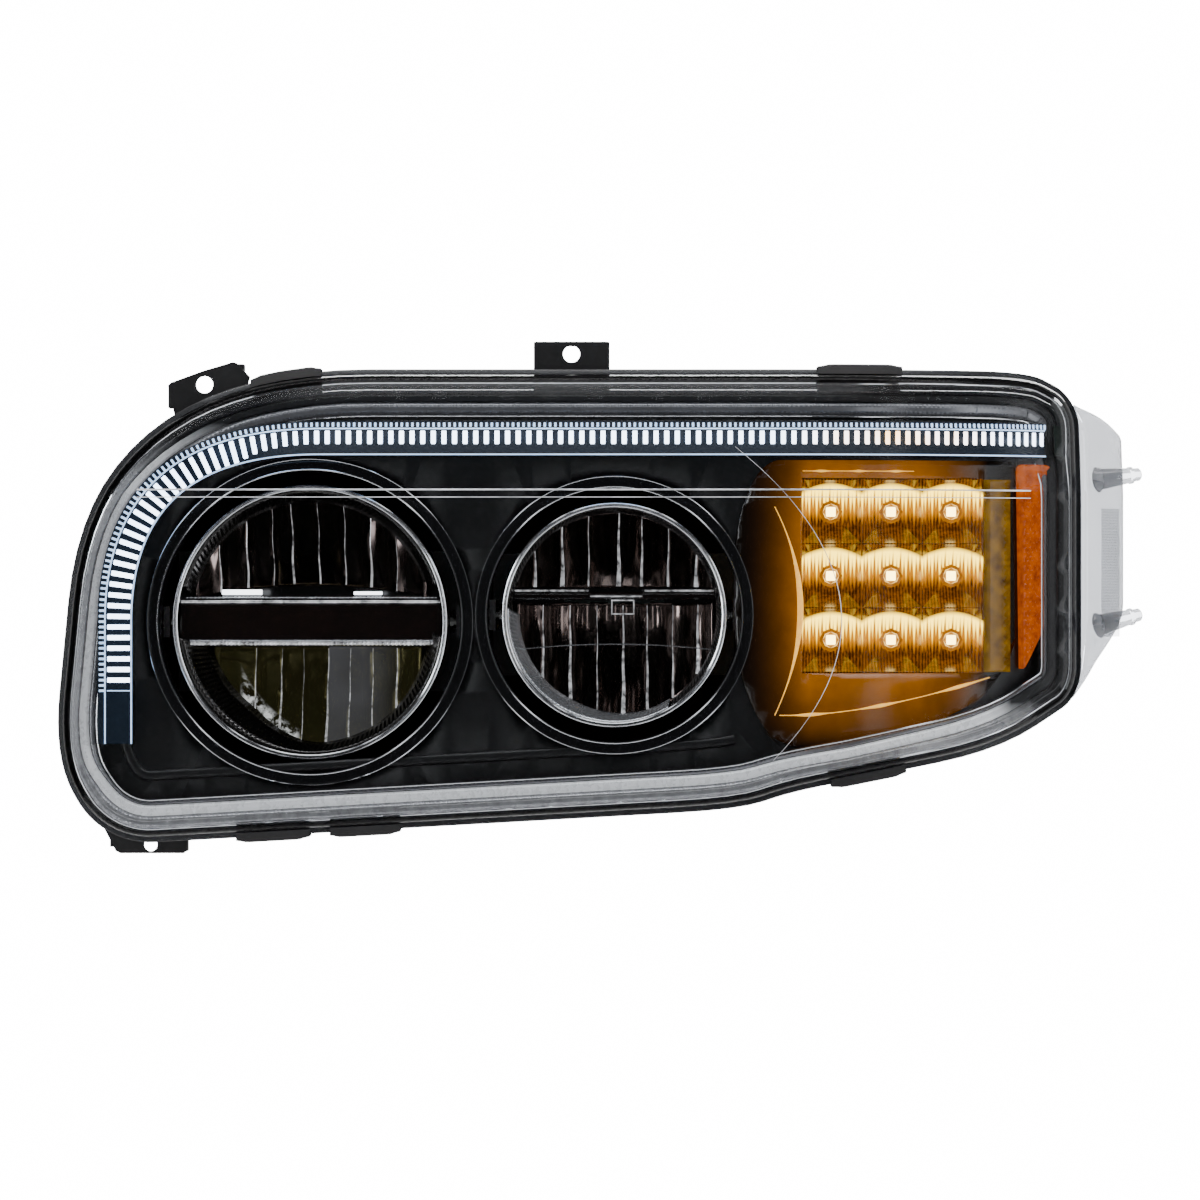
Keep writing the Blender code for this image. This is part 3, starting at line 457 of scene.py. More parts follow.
satin_black = grained("satin black moulding", (0.01, 0.01, 0.011), (0.02, 0.02, 0.022), 0.42, 0.16, 2600.0)
bezel_black = grained("bezel satin black", (0.004, 0.004, 0.005), (0.008, 0.008, 0.009), 0.38, 0.10, 3200.0)
gloss_black = grained("gloss black", (0.004, 0.004, 0.005), (0.009, 0.009, 0.010), 0.10, 0.06, 300.0, 0.03)
chrome = grained("bright chrome", (0.86, 0.86, 0.88), (0.93, 0.93, 0.94), 0.1, 0.06, 400.0, 0.03, 1.0)
smoked = grained("smoked chrome", (0.16, 0.125, 0.115), (0.27, 0.21, 0.19), 0.13, 0.08, 240.0, 0.06, 1.0)
cast_metal = grained("cast aluminium", (0.46, 0.46, 0.47), (0.62, 0.62, 0.63), 0.38, 0.16, 900.0, 0.35, 1.0)
steel = grained("zinc plated steel", (0.52, 0.53, 0.52), (0.7, 0.7, 0.66), 0.28, 0.14, 500.0, 0.12, 1.0)
rubber = grained("soft rubber", (0.014, 0.014, 0.014), (0.030, 0.030, 0.030), 0.78, 0.14, 1500.0, 0.4)
white_moulding = grained("white acetal", (0.60, 0.60, 0.57), (0.72, 0.72, 0.69), 0.38, 0.12, 900.0, 0.12)
mask = grained("dark solder mask", (0.004, 0.008, 0.006), (0.007, 0.013, 0.01), 0.3, 0.14, 700.0, 0.15)
silver = grained("satin silver trim", (0.55, 0.56, 0.58), (0.74, 0.75, 0.77), 0.26, 0.12, 700.0, 0.1, 0.85)
pewter = grained("pewter flutes", (0.20, 0.20, 0.21), (0.36, 0.36, 0.38), 0.20, 0.10, 700.0, 0.1, 0.6)
pewter_dark = grained("dark flutes", (0.045, 0.043, 0.042), (0.10, 0.095, 0.09), 0.2, 0.1, 500.0, 0.1, 1.0)
brass = grained("tinned contacts", (0.62, 0.58, 0.50), (0.74, 0.70, 0.62), 0.25, 0.10, 700.0, 0.1, 1.0)
print("finishes:", len(bpy.data.materials))

# %% [markdown]
# ## The clear lens
# The lens is one polycarbonate moulding: a thin curved sheet, a stepped shoulder all the way round, and
# a skirt that sits in the housing's trough. The sheet is filled and pressed onto the face; the shoulder
# and skirt are a bent grid. Its outer skin rises in two low swells along the crease where the top leans
# back.

# %% Clear polycarbonate
clear = Finish("clear polycarbonate", (0.95, 0.96, 0.97), 0.035, 1.0)
ripple = clear.noise(30.0, 2.0)
clear.bump(ripple, 0.05, 0.0006)
facing = clear.node("ShaderNodeLayerWeight", out=1, Blend=0.5)
sheen = facing.maths("POWER", 5.0) * 0.9 + ripple * 0.004 + 0.002
clear_lens = clear.see_through((0.94, 0.95, 0.96), sheen.clamp(0.0, 0.42))

# %% Lens sheet, shoulder and skirt
BEADS, BEAD_WIDTH, BEAD_RISE = (63.6, 68.4), 1.1, 0.25
SHEET = 3.2  # wall of the lens in front of the lamps
SHOULDER = [  # reach from the edge and depth behind the face
    (-12.0, 0.0), (-10.6, 0.3), (-10.0, 2.0), (-7.4, 2.6), (-6.6, 4.2), (-4.2, 5.2), (-1.6, 8.2),
    (-0.4, 11.0), (0.0, 14.0), (0.0, 19.0),
]
SKIRT = [
    (2.8, 19.0), (LIP, 19.6), (LIP, 23.0), (2.8, 23.6), (0, 23.6), (0, 34.0), (-3, 34.0), (-3, 17.0),
    (-14.5, SHEET),
]


def edge_rows(section):
    """Rows round the lens edge from pairs of reach and depth behind the lens face."""
    return [laid(around(reach), behind(lens_face, depth)) for reach, depth in section]


def lens_skin(x, z):
    """The lens face with two low swells along the crease, which fade where the wrap begins."""
    strength = 1.0 - smooth_share(x, 105.0, 150.0) + smooth_share(x, 245.0, 275.0)
    rise = sum(math.exp(-(((z - bead) / BEAD_WIDTH) ** 2)) for bead in BEADS)
    return lens_face(x, z) - BEAD_RISE * strength * rise


def wing_edge(start, share, edge=LENS_EDGE):
    """The lens edge moved out by start, and by a share of the wing where that stands out."""

    def reach(point):
        if point.x < RIGHT - WING - 20:
            return start
        above = smooth_share(126.0 - point.y, 0.0, 22.0)
        below = smooth_share(point.y + 66.0, 0.0, 62.0)
        return start + (WING - LIP) * share * min(above, below)

    return moved_out(edge, reach)


def stations(start, end, even, quick_from, fine):
    """Cutting planes along X: even steps, then fine ones where the face wraps round."""
    result = [start]
    while result[-1] < end:
        result.append(result[-1] + (even if result[-1] < quick_from else fine))
    return result[:-1]


mesh = bmesh.new()
xs = stations(edge_left + 14, edge_side - 13, 14.0, WRAP_START - 20, 6.0)
crease_zs = [bead + step for bead in BEADS for step in (-2.4, -1.1, 0.0, 1.1, 2.4)] + [CREASE]
zs = [z for z in range(-140, 140, 14) if all(abs(z - c) > 3 for c in crease_zs)] + crease_zs
fill_sheet(mesh, [around(-12.0)], lens_skin, xs, zs)
fill_sheet(mesh, [around(-14.5)], behind(lens_face, SHEET), xs, zs)
bend_grid(mesh, edge_rows(SHOULDER + SKIRT))
fix_piece(mesh, "clear_lens", clear_lens, "clear_lens", ["outer_lens"], sharp=28)

# %% [markdown]
# ## The wing
# Past the housing the lip widens into a clear wing that reaches the bodywork. Light comes through it
# from behind, so its edges matter more than its face: it has a bead along its free edge and a fold
# line, and it is a little smokier than the sheet in front. It is a closed section along the rim.

# %% Wing
smoky = Finish("smoky polycarbonate", (0.80, 0.81, 0.83), 0.12, 0.25)
haze = smoky.noise(14.0, 3.0)
smoky.bump(smoky.noise(45.0, 2.0), 0.08, 0.0006)
smoke = smoky.node("ShaderNodeFresnel", IOR=1.6) * 1.0 + haze * 0.25 - 0.02
smoky_lens = smoky.see_through((0.60, 0.61, 0.63), smoke.clamp(0.0, 0.75))

WING_EDGE = with_spans(LENS_EDGE, lens_face, 3.0)
wing_stops = [k for k, p in enumerate(WING_EDGE) if p.x > RIGHT - WING - 12 and -64.0 < p.y < 125.0]
section = []
for share, front, back in (
    (0.0, 19.0, 23.0), (0.12, 18.2, 23.0), (0.16, 16.8, 22.4), (0.20, 18.0, 23.0), (0.5, 18.6, 22.6),
    (0.86, 18.8, 22.6), (0.92, 17.2, 22.8), (0.97, 17.4, 23.6), (1.0, 19.4, 23.4),
):
    section.append((wing_edge(LIP + 0.25, share, WING_EDGE), front, back))
sides = [(line, front) for line, front, _ in section] + [(line, back) for line, _, back in section[::-1]]
mesh = bmesh.new()
bar(mesh, [laid([line[k] for k in wing_stops], behind(lens_face, depth)) for line, depth in sides])
fix_piece(mesh, "lens_wing", smoky_lens, "clear_lens", fill=True)

# %% [markdown]
# ## What stands on the wing
# Two blunt pegs locate the lamp against the bodywork. Each is a spun profile with a collar and a
# rounded end, turned square to the wrap. Between them the wing carries a fluted panel, which is a grid
# whose rows rise and fall.

# %% Pegs and fluted panel
for number, (z, rise) in enumerate(((77.0, 0.2), (-18.5, 0.45)), start=1):
    x = RIGHT - 20.0
    along = Vector((wrap(x + 0.5) - wrap(x - 0.5), -1.0, rise)).normalized()
    foot = Vector((x, lens_face(x, z) + 19.0, z)) + along * 0.2
    length = 26.0 / along.x
    mesh = bmesh.new()
    profile = [(0, 0), (8.4, 0), (7.6, 1.0), (6.9, 2.2), (5.6, length * 0.55), (5.0, length * 0.72)]
    profile += [(5.6, length * 0.74), (5.6, length * 0.80), (4.4, length * 0.82), (4.2, length - 1.0)]
    profile += [(3.2, length), (0, length)]
    turned(mesh, (0, 0), 0.0, profile, steps=40)
    turn = Vector((0, 1, 0)).rotation_difference(along).to_matrix().to_4x4()
    bmesh.ops.transform(mesh, matrix=Matrix.Translation(foot) @ turn, verts=mesh.verts)
    fix_piece(mesh, f"lens_peg_{number}", smoky_lens, "clear_lens")

mesh = bmesh.new()
flutes = 46
rows = []
for share in (0.50, 0.52, 0.92, 0.94):
    line = []
    for k in range(flutes * 2 + 1):
        z = 58.0 - 84.0 * k / (flutes * 2)
        x = edge_side + 2.0 + (WING - LIP) * share
        height = 0.5 if share in (0.50, 0.94) else 0.9 + 1.1 * (k % 2)
        line.append(Vector((x, lens_face(x, z) + 18.6 - height, z)))
    rows.append(line)
bend_grid(mesh, rows, closed=False)
fix_piece(mesh, "wing_flutes", smoky_lens, "clear_lens", sharp=20)

# %% [markdown]
# ## The housing
# The housing is a deep black tub. Its rim has a trough for the lens skirt and a seat for the bezel, and
# its walls draw in towards the back. The rim is one bent grid through the whole section, and the back
# is a flat sheet with openings for the caps, the adjusters and the vents.

# %% Housing tub
LAMPS = {}
for name, ring, cap, boards in (
    ("low", 105.0, 48.0, ("upper", "lower")), ("high", 89.5, 42.0, ("lower",)),
):
    low, high = box_mm(f"{name}_trim_ring")
    centre = ((low.x + high.x) / 2, (low.z + high.z) / 2)
    stud = box_mm(f"{name}_aim_stud")
    LAMPS[name] = {
        "centre": centre, "radius": (high.x - low.x) / 2 - 0.5, "ring": ring, "cap": cap,
        "stud": (centre[0], (stud[0].z + stud[1].z) / 2), "boards": boards,
    }
VENTS = {}
for name in ("outboard", "inboard"):
    low, high = box_mm(f"breather_vent_{name}")
    VENTS[name] = ((low.x + high.x) / 2, (low.z + high.z) / 2)


def drawn_in(points, share=0.16):
    """An outline drawn towards the spine along the lamp's middle."""
    return [p.lerp(Vector((min(max(p.x, -230.0), 230.0), 0.0)), share) for p in points]


openings = [circle(lamp["centre"], lamp["cap"] - 7.5, 64) for lamp in LAMPS.values()]
openings += [circle(lamp["stud"], 7.0, 32) for lamp in LAMPS.values()]
openings += [circle(vent, 4.5, 24) for vent in VENTS.values()]
TUB_WALL = 3.0
outer_back = drawn_in(around(-2))
corner_back = moved_out(outer_back, -2.2)
inner_back = moved_out(outer_back, -TUB_WALL)


def seat(x, z):
    """The step that the bezel rests on."""
    return bezel_face(x, z) + 2.8


RIM_SECTION = [  # reach from the edge and depth behind the lens, over the rim and down its trough
    (-2, 46), (-1.4, 44), (3.6, 44), (4, 43.4), (4, 36.0), (3.1, 35.2), (3.1, 33.4), (4, 32.6), (4, 24.6),
    (3.4, 24), (0.6, 24), (0.6, 38), (-3.6, 38), (-3.6, 30), (-6.1, 30),
]
mesh = bmesh.new()
fill_sheet(mesh, [corner_back, *openings], level(BACK))
fill_sheet(mesh, [inner_back, *openings], level(BACK - TUB_WALL))
outer_wall = ((corner_back, 0.0), (moved_out(outer_back, -0.6), 0.7), (outer_back, 2.4))
section = [laid(line, level(BACK - depth)) for line, depth in outer_wall]
section += edge_rows(RIM_SECTION)
section += [laid(around(reach), seat) for reach in (-6.1, -15)]
section += [laid(around(reach), behind(seat, TUB_WALL)) for reach in (-15, -6.1)]
section.append(laid(inner_back, level(BACK - TUB_WALL)))
bend_grid(mesh, section)
for hole in openings:
    bend_grid(mesh, [laid(hole, level(BACK)), laid(hole, level(BACK - TUB_WALL))])
fix_piece(mesh, "housing_tub", satin_black, "satin_black", ["housing"])

# %% [markdown]
# ## Mounting tabs
# Three tabs hold the lamp to the vehicle. Each is a plate with a bolt hole and gusset walls that run
# back to the tub, so that the thin plate can't bend. A plate is a filled outline with a solid wall.

# %% Tabs with gussets


def stretch_between(x0, x1, above, reach, count=16):
    """Stops along the rim between x0 and x1, moved out by a reach or by a function of the share along the
    stretch.
    """
    result = []
    for k in range(count):
        x = x0 + (x1 - x0) * k / (count - 1)
        amount = reach(k / (count - 1)) if callable(reach) else reach
        line = sorted(((p.x, p.y) for p in around(amount) if (p.y > 0) == above))
        before = max((p for p in line if p[0] <= x), key=lambda p: p[0])
        after = min((p for p in line if p[0] > x), key=lambda p: p[0])
        share = (x - before[0]) / (after[0] - before[0])
        result.append(Vector((x, before[1] + (after[1] - before[1]) * share)))
    return result


def flat(*pairs):
    """Outline points from pairs of x and z."""
    return [Vector(pair) for pair in pairs]


TAB_WALL, GUSSET_REACH = 4.0, 17.0
TABS = {
    "inboard": {
        "outline": flat(
            (-281, 136.4), (-279, 138.4), (-258, 146), (-239, 151.6), (-236.5, 151), (-228, 142)
        ) + stretch_between(-276, -230, True, 1.5)[::-1],
        "hole": ((-257.3, 137.0), 5.5), "front": -70.0,
        "gussets": ((-281, -274, 136.0, 122.0), (-238.5, -232, 150.5, 137.0)),
    },
    "upper": {
        "outline": flat((-45, 163.5), (-43.5, 165), (2.5, 165), (4, 163.5))
        + stretch_between(-45, 4, True, 1.5)[::-1],
        "hole": ((-20.6, 157.0), 5.5), "front": -64.0,
        "gussets": ((-45, -42.5, 164.0, 147.0), (1.5, 4, 164.0, 147.0), (-45, 4, 165.0, 162.6)),
    },
    "lower": {
        "outline": flat(
            (-268, -150), (-268, -163), (-270, -165), (-311, -165), (-314, -163.5), (-322, -148)
        ),
        "hole": ((-291.5, -159.4), 4.3), "front": -78.0,
        "gussets": ((-270.6, -268, -150.0, -164.0), (-318, -315, -150.0, -161.0)),
    },
}
for name, tab in TABS.items():
    mesh = bmesh.new()
    centre, radius = tab["hole"]
    loops = [tab["outline"], circle(centre, radius, 40)]
    faces = level(tab["front"]), level(tab["front"] + TAB_WALL)
    for face in faces:
        fill_sheet(mesh, loops, face)
    for loop in loops:
        bend_grid(mesh, [laid(loop, face) for face in faces])
    fix_piece(mesh, f"tab_{name}", satin_black, "satin_black")
    mesh = bmesh.new()
    for x0, x1, z0, z1 in tab["gussets"]:
        start = tab["front"] + 3.6
        low, high = (min(x0, x1), start, min(z0, z1)), (max(x0, x1), start + GUSSET_REACH, max(z0, z1))
        bevelled_box(mesh, low, high, 0.5)
    fix_piece(mesh, f"tab_{name}_gussets", satin_black, "satin_black")

# %% [markdown]
# ## Spring clips
# Five clips squeeze the lens lip against the housing rim. A clip is a C section carried along the rim,
# and its outer face sinks at both ends, which gives the clip its ramps.

# %% Clips
CLIPS = [  # from x, to x, and whether the clip is on the upper rim
    (-227, -182, True), (138, 193, True), (-235, -188, False), (-175, -130, False), (146, 194, False),
]


def ramp(share):
    """Reach of a clip's outer face, which sinks at both ends."""
    return 5.7 + 1.5 * smooth_share(min(share, 1 - share), 0.0, 0.16)


for number, (x0, x1, above) in enumerate(CLIPS, start=1):
    reaches = 0.9, 5.3, ramp, lambda share: ramp(share) - 0.7
    inner, lip, outer, middle = (stretch_between(x0, x1, above, reach) for reach in reaches)
    section = [
        (inner, 15.6), (middle, 15.6), (outer, 16.6), (outer, 27.0), (middle, 27.8), (middle, 33.6),
        (outer, 34.4), (outer, 46.2), (middle, 47.2), (inner, 47.2), (inner, 45.3), (lip, 45.3),
        (lip, 17.7), (inner, 17.7),
    ]
    mesh = bmesh.new()
    bar(mesh, [laid(line, behind(lens_face, depth)) for line, depth in section])
    name = f"spring_clip_{number}"
    fix_piece(mesh, name, satin_black, "satin_black", [f"lens_clip_{number}"], fill=True)

# %% [markdown]
# ## Trim between lens and bezel
# Inside the lens edge run a fluted band, a plain silver stripe and a second, finer fluted line. On the
# real lamp these are the edge of the metallised frame seen through the lens. The bands are grids whose
# rows follow the lens edge, and the flutes are every other stop raised.

# %% Fluted bands and stripe


def along_edge(left, low, top):
    """A reach that differs at the left, the bottom and the top of the lamp."""

    def reach(point):
        t = smooth_share(point.y, 60.0, 120.0)
        b = 1.0 - smooth_share(point.y, -138.0, -100.0)
        right = smooth_share(point.x, RIGHT - 250, RIGHT - 60) * (1.0 - t)
        return left * (1 - max(t, b, right)) + top * t + low * max(b, right) * (1 - t)

    return reach


BANDS = {
    "outer": (along_edge(-5.0, -5.4, -6.4), along_edge(-9.6, -12.6, -12.0)),
    "stripe": (along_edge(-10.0, -13.0, -12.6), along_edge(-15.8, -19.6, -17.4)),
    "inner": (along_edge(-16.2, -20.0, -18.0), along_edge(-20.0, -22.0, -25.6)),
}


def band_depth(point, reach):
    """Bands slope from just inside the shoulder back to the bezel."""
    return lens_face(point.x, point.y) + 21.0 - 0.5 * reach


def between(first, last, share):
    """A reach part of the way from one reach to another."""
    return lambda point: first(point) * (1 - share) + last(point) * share


def fluted_band(name, material, reaches, height, lines=4):
    """A band between two reaches, with every other stop of its inner rows raised."""
    mesh = bmesh.new()
    rows = []
    for j in range(lines):
        reach = between(*reaches, j / (lines - 1))
        tooth = height if 0 < j < lines - 1 else 0.0
        rows.append([
            Vector((p.x, band_depth(p, reach(p)) - tooth * ((k + j) % 2), p.y))
            for k, p in enumerate(around(reach, FINE_EDGE))
        ])
    bend_grid(mesh, rows)
    fix_piece(mesh, name, material, "bright_chrome", sharp=12, wall=1.0)


def edge_trim_with_painted_glow(name, low_colour, high_colour, fade, roughness, metallic, lift):
    """Metallised trim fading to bare black plastic at the top and outboard side; lift is its painted glow.
    """
    finish = Finish(name, low_colour, roughness)
    x, _, height = finish.axes()
    outboard = ((x - RIGHT + 96.0) / 16.0).clamp() * ((height + 84.0) / 16.0).clamp()
    bare = ((height - fade) / 24.0).maths("MAXIMUM", outboard).clamp()
    cloud = finish.noise(220.0, 4.0, 0.6)
    # Painted glow: emission that stands in for studio light on the metallised trim, none where it is bare.
    glow = finish.blend(cloud, (0.2, 0.2, 0.21), (1.0, 1.0, 1.0))
    finish.set(
        Base_Color=finish.blend(bare, finish.blend(cloud, low_colour, high_colour), (0.008, 0.008, 0.009)),
        Roughness=cloud * 0.16 + roughness + bare * 0.35,
        Metallic=(1.0 - bare) * metallic,
        Emission_Color=finish.blend(bare, glow, (0.0, 0.0, 0.0)),
        Emission_Strength=lift,
    )
    return finish.material


# The outer flutes and the stripe carry a painted glow for studio light on the metallised frame.
dark_top_flutes = edge_trim_with_painted_glow(
    "edge flute chrome", (0.16, 0.16, 0.17), (0.62, 0.62, 0.64), 78.0, 0.16, 0.65, 0.05
)
dark_top_silver = edge_trim_with_painted_glow(
    "edge stripe silver", (0.80, 0.81, 0.83), (0.93, 0.93, 0.94), 88.0, 0.2, 0.2, 0.28
)
fluted_band("edge_flutes_outer", dark_top_flutes, BANDS["outer"], 0.9, 5)
fluted_band("edge_stripe", dark_top_silver, BANDS["stripe"], 0.0, 4)
fluted_band("edge_flutes_inner", pewter, BANDS["inner"], 0.8, 4)

BEAD_SIZE = 0.75
for name, reach in (
    ("edge_bead_outer", along_edge(-4.6, -4.6, -5.4)),
    ("edge_bead_inner", along_edge(-21.0, -23.0, -26.6)),
):
    mesh = bmesh.new()
    rows = []
    for a in angles(8):
        line = around(lambda p: reach(p) + BEAD_SIZE * math.cos(a))
        rise = BEAD_SIZE * math.sin(a) - 1.7
        rows.append([Vector((p.x, band_depth(p, reach(p)) + rise, p.y)) for p in line])
    bend_grid(mesh, rows, ring=True)
    fix_piece(mesh, name, chrome, "bright_chrome")

# %% [markdown]
# ## The bezel
# The bezel is the black face round the lamps. Its sheet is filled with round and square openings left
# in it, pressed onto the bezel face and given a wall. A low step runs inside its inboard and lower
# edges, and each lamp sits in a turned well with two thin bright rings.

# %% Bezel and lamp wells
signal_low, signal_high = box_mm("signal_reflector")
mesh = bmesh.new()
loops = [around(-6.4)]
loops += [circle(lamp["centre"], lamp["ring"] - 5.0) for lamp in LAMPS.values()]
loops.append(rectangle(signal_low.x - 1, signal_high.x + 1, signal_low.z - 1, signal_high.z + 1))
xs = stations(LEFT + 20, edge_side - 8, 26.0, WRAP_START, 7.0)
fill_sheet(mesh, loops, bezel_face, xs, (92.0, 110.0, 126.0))
fix_piece(mesh, "bezel_face", bezel_black, "satin_black", ["bezel"], wall=2.4)

mesh = bmesh.new()
step_line = [p for p in around(-42, with_spans(LENS_EDGE, lens_face, 3.0)) if p.y < -60 and p.x < 84]
step_line.sort(key=lambda p: math.atan2(p.y + 40, p.x + 250))
step_rows = []
for reach, height in ((0.0, 0.0), (0.8, 1.6), (2.0, 2.2), (4.5, 2.3), (6.0, 1.6), (7.0, 0.0)):
    row = []
    for k, p in enumerate(step_line):
        before, after = step_line[max(k - 1, 0)], step_line[min(k + 1, len(step_line) - 1)]
        along = (after - before).normalized()
        q = p + Vector((along.y, -along.x)) * reach
        row.append(Vector((q.x, bezel_face(q.x, q.y) - height, q.y)))
    step_rows.append(row)
bend_grid(mesh, step_rows, closed=False)
fix_piece(mesh, "bezel_step", bezel_black, "satin_black", sharp=40, fill=True)

for name, lamp in LAMPS.items():
    outer, inner = lamp["ring"], lamp["ring"] - 8.0
    mesh = bmesh.new()
    profile = [
        (outer, -0.3), (outer, -2.0), (outer - 0.5, -2.6), (inner + 1.2, -3.9), (inner + 0.3, -3.7),
        (inner, -3.0), (inner - 0.2, 6.0), (inner, 26), (inner + 0.6, 27.0), (inner + 2.5, 27.0),
        (inner + 2.5, -0.3),
    ]
    turned(mesh, lamp["centre"], BEZEL_FRONT, profile, steps=128, ring=True)
    fix_piece(mesh, f"{name}_well", gloss_black, "gloss_black", [f"{name}_well_ring"])
    for label, radius, y, size in (("outer", outer - 0.4, -2.5, 0.42), ("inner", inner + 0.9, -4.0, 0.6)):
        mesh = bmesh.new()
        bead = [(radius + size * math.cos(a), size * math.sin(a)) for a in angles(8)]
        turned(mesh, lamp["centre"], BEZEL_FRONT + y, bead, steps=128, ring=True)
        fix_piece(mesh, f"{name}_well_bead_{label}", chrome, "bright_chrome")

# %% [markdown]
# ## The running-light guide
# The guide is a clear acrylic bar that climbs the inboard side, rounds the corner and runs outboard.
# Its back is cut into ribs that throw the light forward, so lit it shows as bright bars with dark gaps.
# Each rib is a small rounded block; a finer row of ticks runs along the outer edge. The path is a
# straight, a parabola and a straight, which is also how the guide's box was laid out.

# %% Light-guide finishes


def glowing(name, colour, roughness, scale, dark, hot, strength):
    """A finish that shines, cloudy between two colours."""
    finish = Finish(name, colour, roughness)
    glow = finish.blend(finish.noise(scale), dark, hot)
    return finish.set(Emission_Color=glow, Emission_Strength=strength).material


cool_light = Finish("cool white light", (0.75, 0.85, 1.0), 0.25)
glow = cool_light.noise(55.0, 3.0)
along_x = cool_light.axes()[0]
# Painted amber spill: the turn signal's light tinting the guide above it.
painted_amber_spill = (1.0 - ((along_x - 190.0) / 78.0).maths("ABSOLUTE")).clamp() * (cool_light.noise(70.0) * 1.6)
cool = cool_light.blend(glow, (0.50, 0.68, 1.0), (0.92, 0.96, 1.0))
cool_light.set(
    Emission_Color=cool_light.blend(painted_amber_spill.clamp(), cool, (1.0, 0.50, 0.08)), Emission_Strength=8.0
)
tick_light = glowing(
    "dim guide light", (0.6, 0.75, 0.95), 0.25, 90.0, (0.16, 0.30, 0.55), (0.55, 0.72, 0.95), 2.2
)
guide_body = Finish("tinted guide acrylic", (0.05, 0.08, 0.13), 0.4, Specular_IOR_Level=0.15)
guide_body.set(
    Base_Color=guide_body.blend(guide_body.noise(26.0), (0.004, 0.006, 0.009), (0.012, 0.017, 0.026)),
    Emission_Color=guide_body.blend(guide_body.noise(40.0), (0.004, 0.007, 0.013), (0.012, 0.022, 0.04)),
    Emission_Strength=0.5,
)

# %% Guide path, body, ribs and ticks
GUIDE_X, GUIDE_Z, GUIDE_FOOT = LEFT + 40.0, TOP - 45.0, -94.0
GUIDE_END = box_mm("running_light_guide")[1].x
corner = Vector((GUIDE_X, GUIDE_Z))
curve_start, curve_end = corner - Vector((0, 118)), corner + Vector((131, 0))


def guide_path(step):
    """Stops along the guide's middle at an even step, with the direction at each."""
    raw = [Vector((GUIDE_X, GUIDE_FOOT + k)) for k in range(int(curve_start.y - GUIDE_FOOT))]
    for k in range(161):
        t = k / 160
        raw.append(curve_start * (1 - t) ** 2 + corner * 2 * t * (1 - t) + curve_end * t * t)
    raw += [Vector((curve_end.x + 1 + k, GUIDE_Z)) for k in range(int(GUIDE_END - curve_end.x - 1))]
    lengths = [0.0]
    for a, b in zip(raw, raw[1:]):
        rise = bezel_face(*b) - bezel_face(*a)
        lengths.append(lengths[-1] + math.hypot((b - a).length, rise))
    stops, index = [], 0
    for k in range(int(lengths[-1] / step)):
        goal = k * step
        while lengths[index + 1] < goal:
            index += 1
        share = (goal - lengths[index]) / max(lengths[index + 1] - lengths[index], 1e-6)
        stops.append((raw[index].lerp(raw[index + 1], share), (raw[index + 1] - raw[index]).normalized()))
    return stops


def guide_rows(stops, sides, depths):
    """Rows beside the guide's middle: sides are distances to the outer side, depths before the bezel."""
    rows = []
    for side, depth in zip(sides, depths):
        row = []
        for p, along in stops:
            q = p + Vector((-along.y, along.x)) * side
            row.append(Vector((q.x, bezel_face(q.x, q.y) - depth, q.y)))
        rows.append(row)
    return rows


fine_stops = guide_path(4.0)
mesh = bmesh.new()
sides = (-11.0, -11.0, -10.0, 5.6, 5.9, 6.4, 6.7, 10.2, 11.0, 11.0)
depths = (5.0, 13.4, 14.4, 14.4, 13.2, 13.2, 14.4, 14.4, 13.4, 5.0)
bar(mesh, guide_rows(fine_stops, sides, depths))
finish_piece(
    mesh, "guide_bar", "lamp_body", guide_body.material, "light_guide", ["running_light_guide"], fill=True
)


def rib_row(name, material, step, width, length, side, depth, first, last, edge):
    """Rounded blocks set across the guide at an even step."""
    mesh = bmesh.new()
    for k, (p, along) in enumerate(guide_path(step)):
        if not first <= k * step <= last:
            continue
        across = Vector((-along.y, along.x))
        q = p + across * side
        slope = (bezel_face(q.x + 1, q.y) - bezel_face(q.x - 1, q.y)) / 2
        run = Vector((along.x, along.x * slope, along.y)).normalized()
        up = Vector((across.x, 0.0, across.y))
        out = run.cross(up).normalized()
        place = Matrix((run, out, up)).transposed().to_4x4()
        place.translation = Vector((q.x, bezel_face(q.x, q.y) - depth, q.y))
        block(mesh, place @ Matrix.Diagonal((length, 1.1, width, 1)), edge)
    fix_piece(mesh, name, material, "light_guide", sharp=60)


GUIDE_RUN = len(guide_path(1.0))
rib_row("guide_ribs", cool_light.material, 6.8, 14.6, 3.1, -2.6, 14.7, 40.0, GUIDE_RUN - 6, 0.4)
rib_row("guide_cross_ribs", tick_light, 6.8, 15.0, 0.7, -2.6, 14.5, 34.0, GUIDE_RUN - 6, 0.15)
rib_row("guide_ticks", tick_light, 3.4, 3.4, 1.5, 8.4, 14.6, 34.0, GUIDE_RUN - 6, 0.25)
edge_stops = guide_path(5.0)
for name, side in (("guide_line_inner", -10.6), ("guide_line_middle", 6.2)):
    mesh = bmesh.new()
    line = (side - 0.45, side - 0.45, side + 0.45, side + 0.45)
    bar(mesh, guide_rows(edge_stops, line, (13.0, 14.9, 14.9, 13.0)))
    fix_piece(mesh, name, tick_light, "light_guide", fill=True)

# %% [markdown]
# ## The lamps' mirrors
# Each lamp is a dark metallised bowl split by a shelf. Its mirrors are cut into upright facets that
# spread the beam sideways. A facet is a strip of the bowl with a hollow across it, so a bent grid with
# a few columns for each facet gives the hollows, and a thin ridge with a painted glint stands between two
# facets.

# %% Mirror helpers
MIRROR_ROWS = 28


def bowl_depth(lamp, x, z):
    """Depth of a lamp's bowl, open to the front."""
    reach = lamp["radius"] - 3.5
    share = ((x - lamp["centre"][0]) ** 2 + (z - lamp["centre"][1]) ** 2) / reach**2
    return BOWL_BACK - BOWL_SAG * share


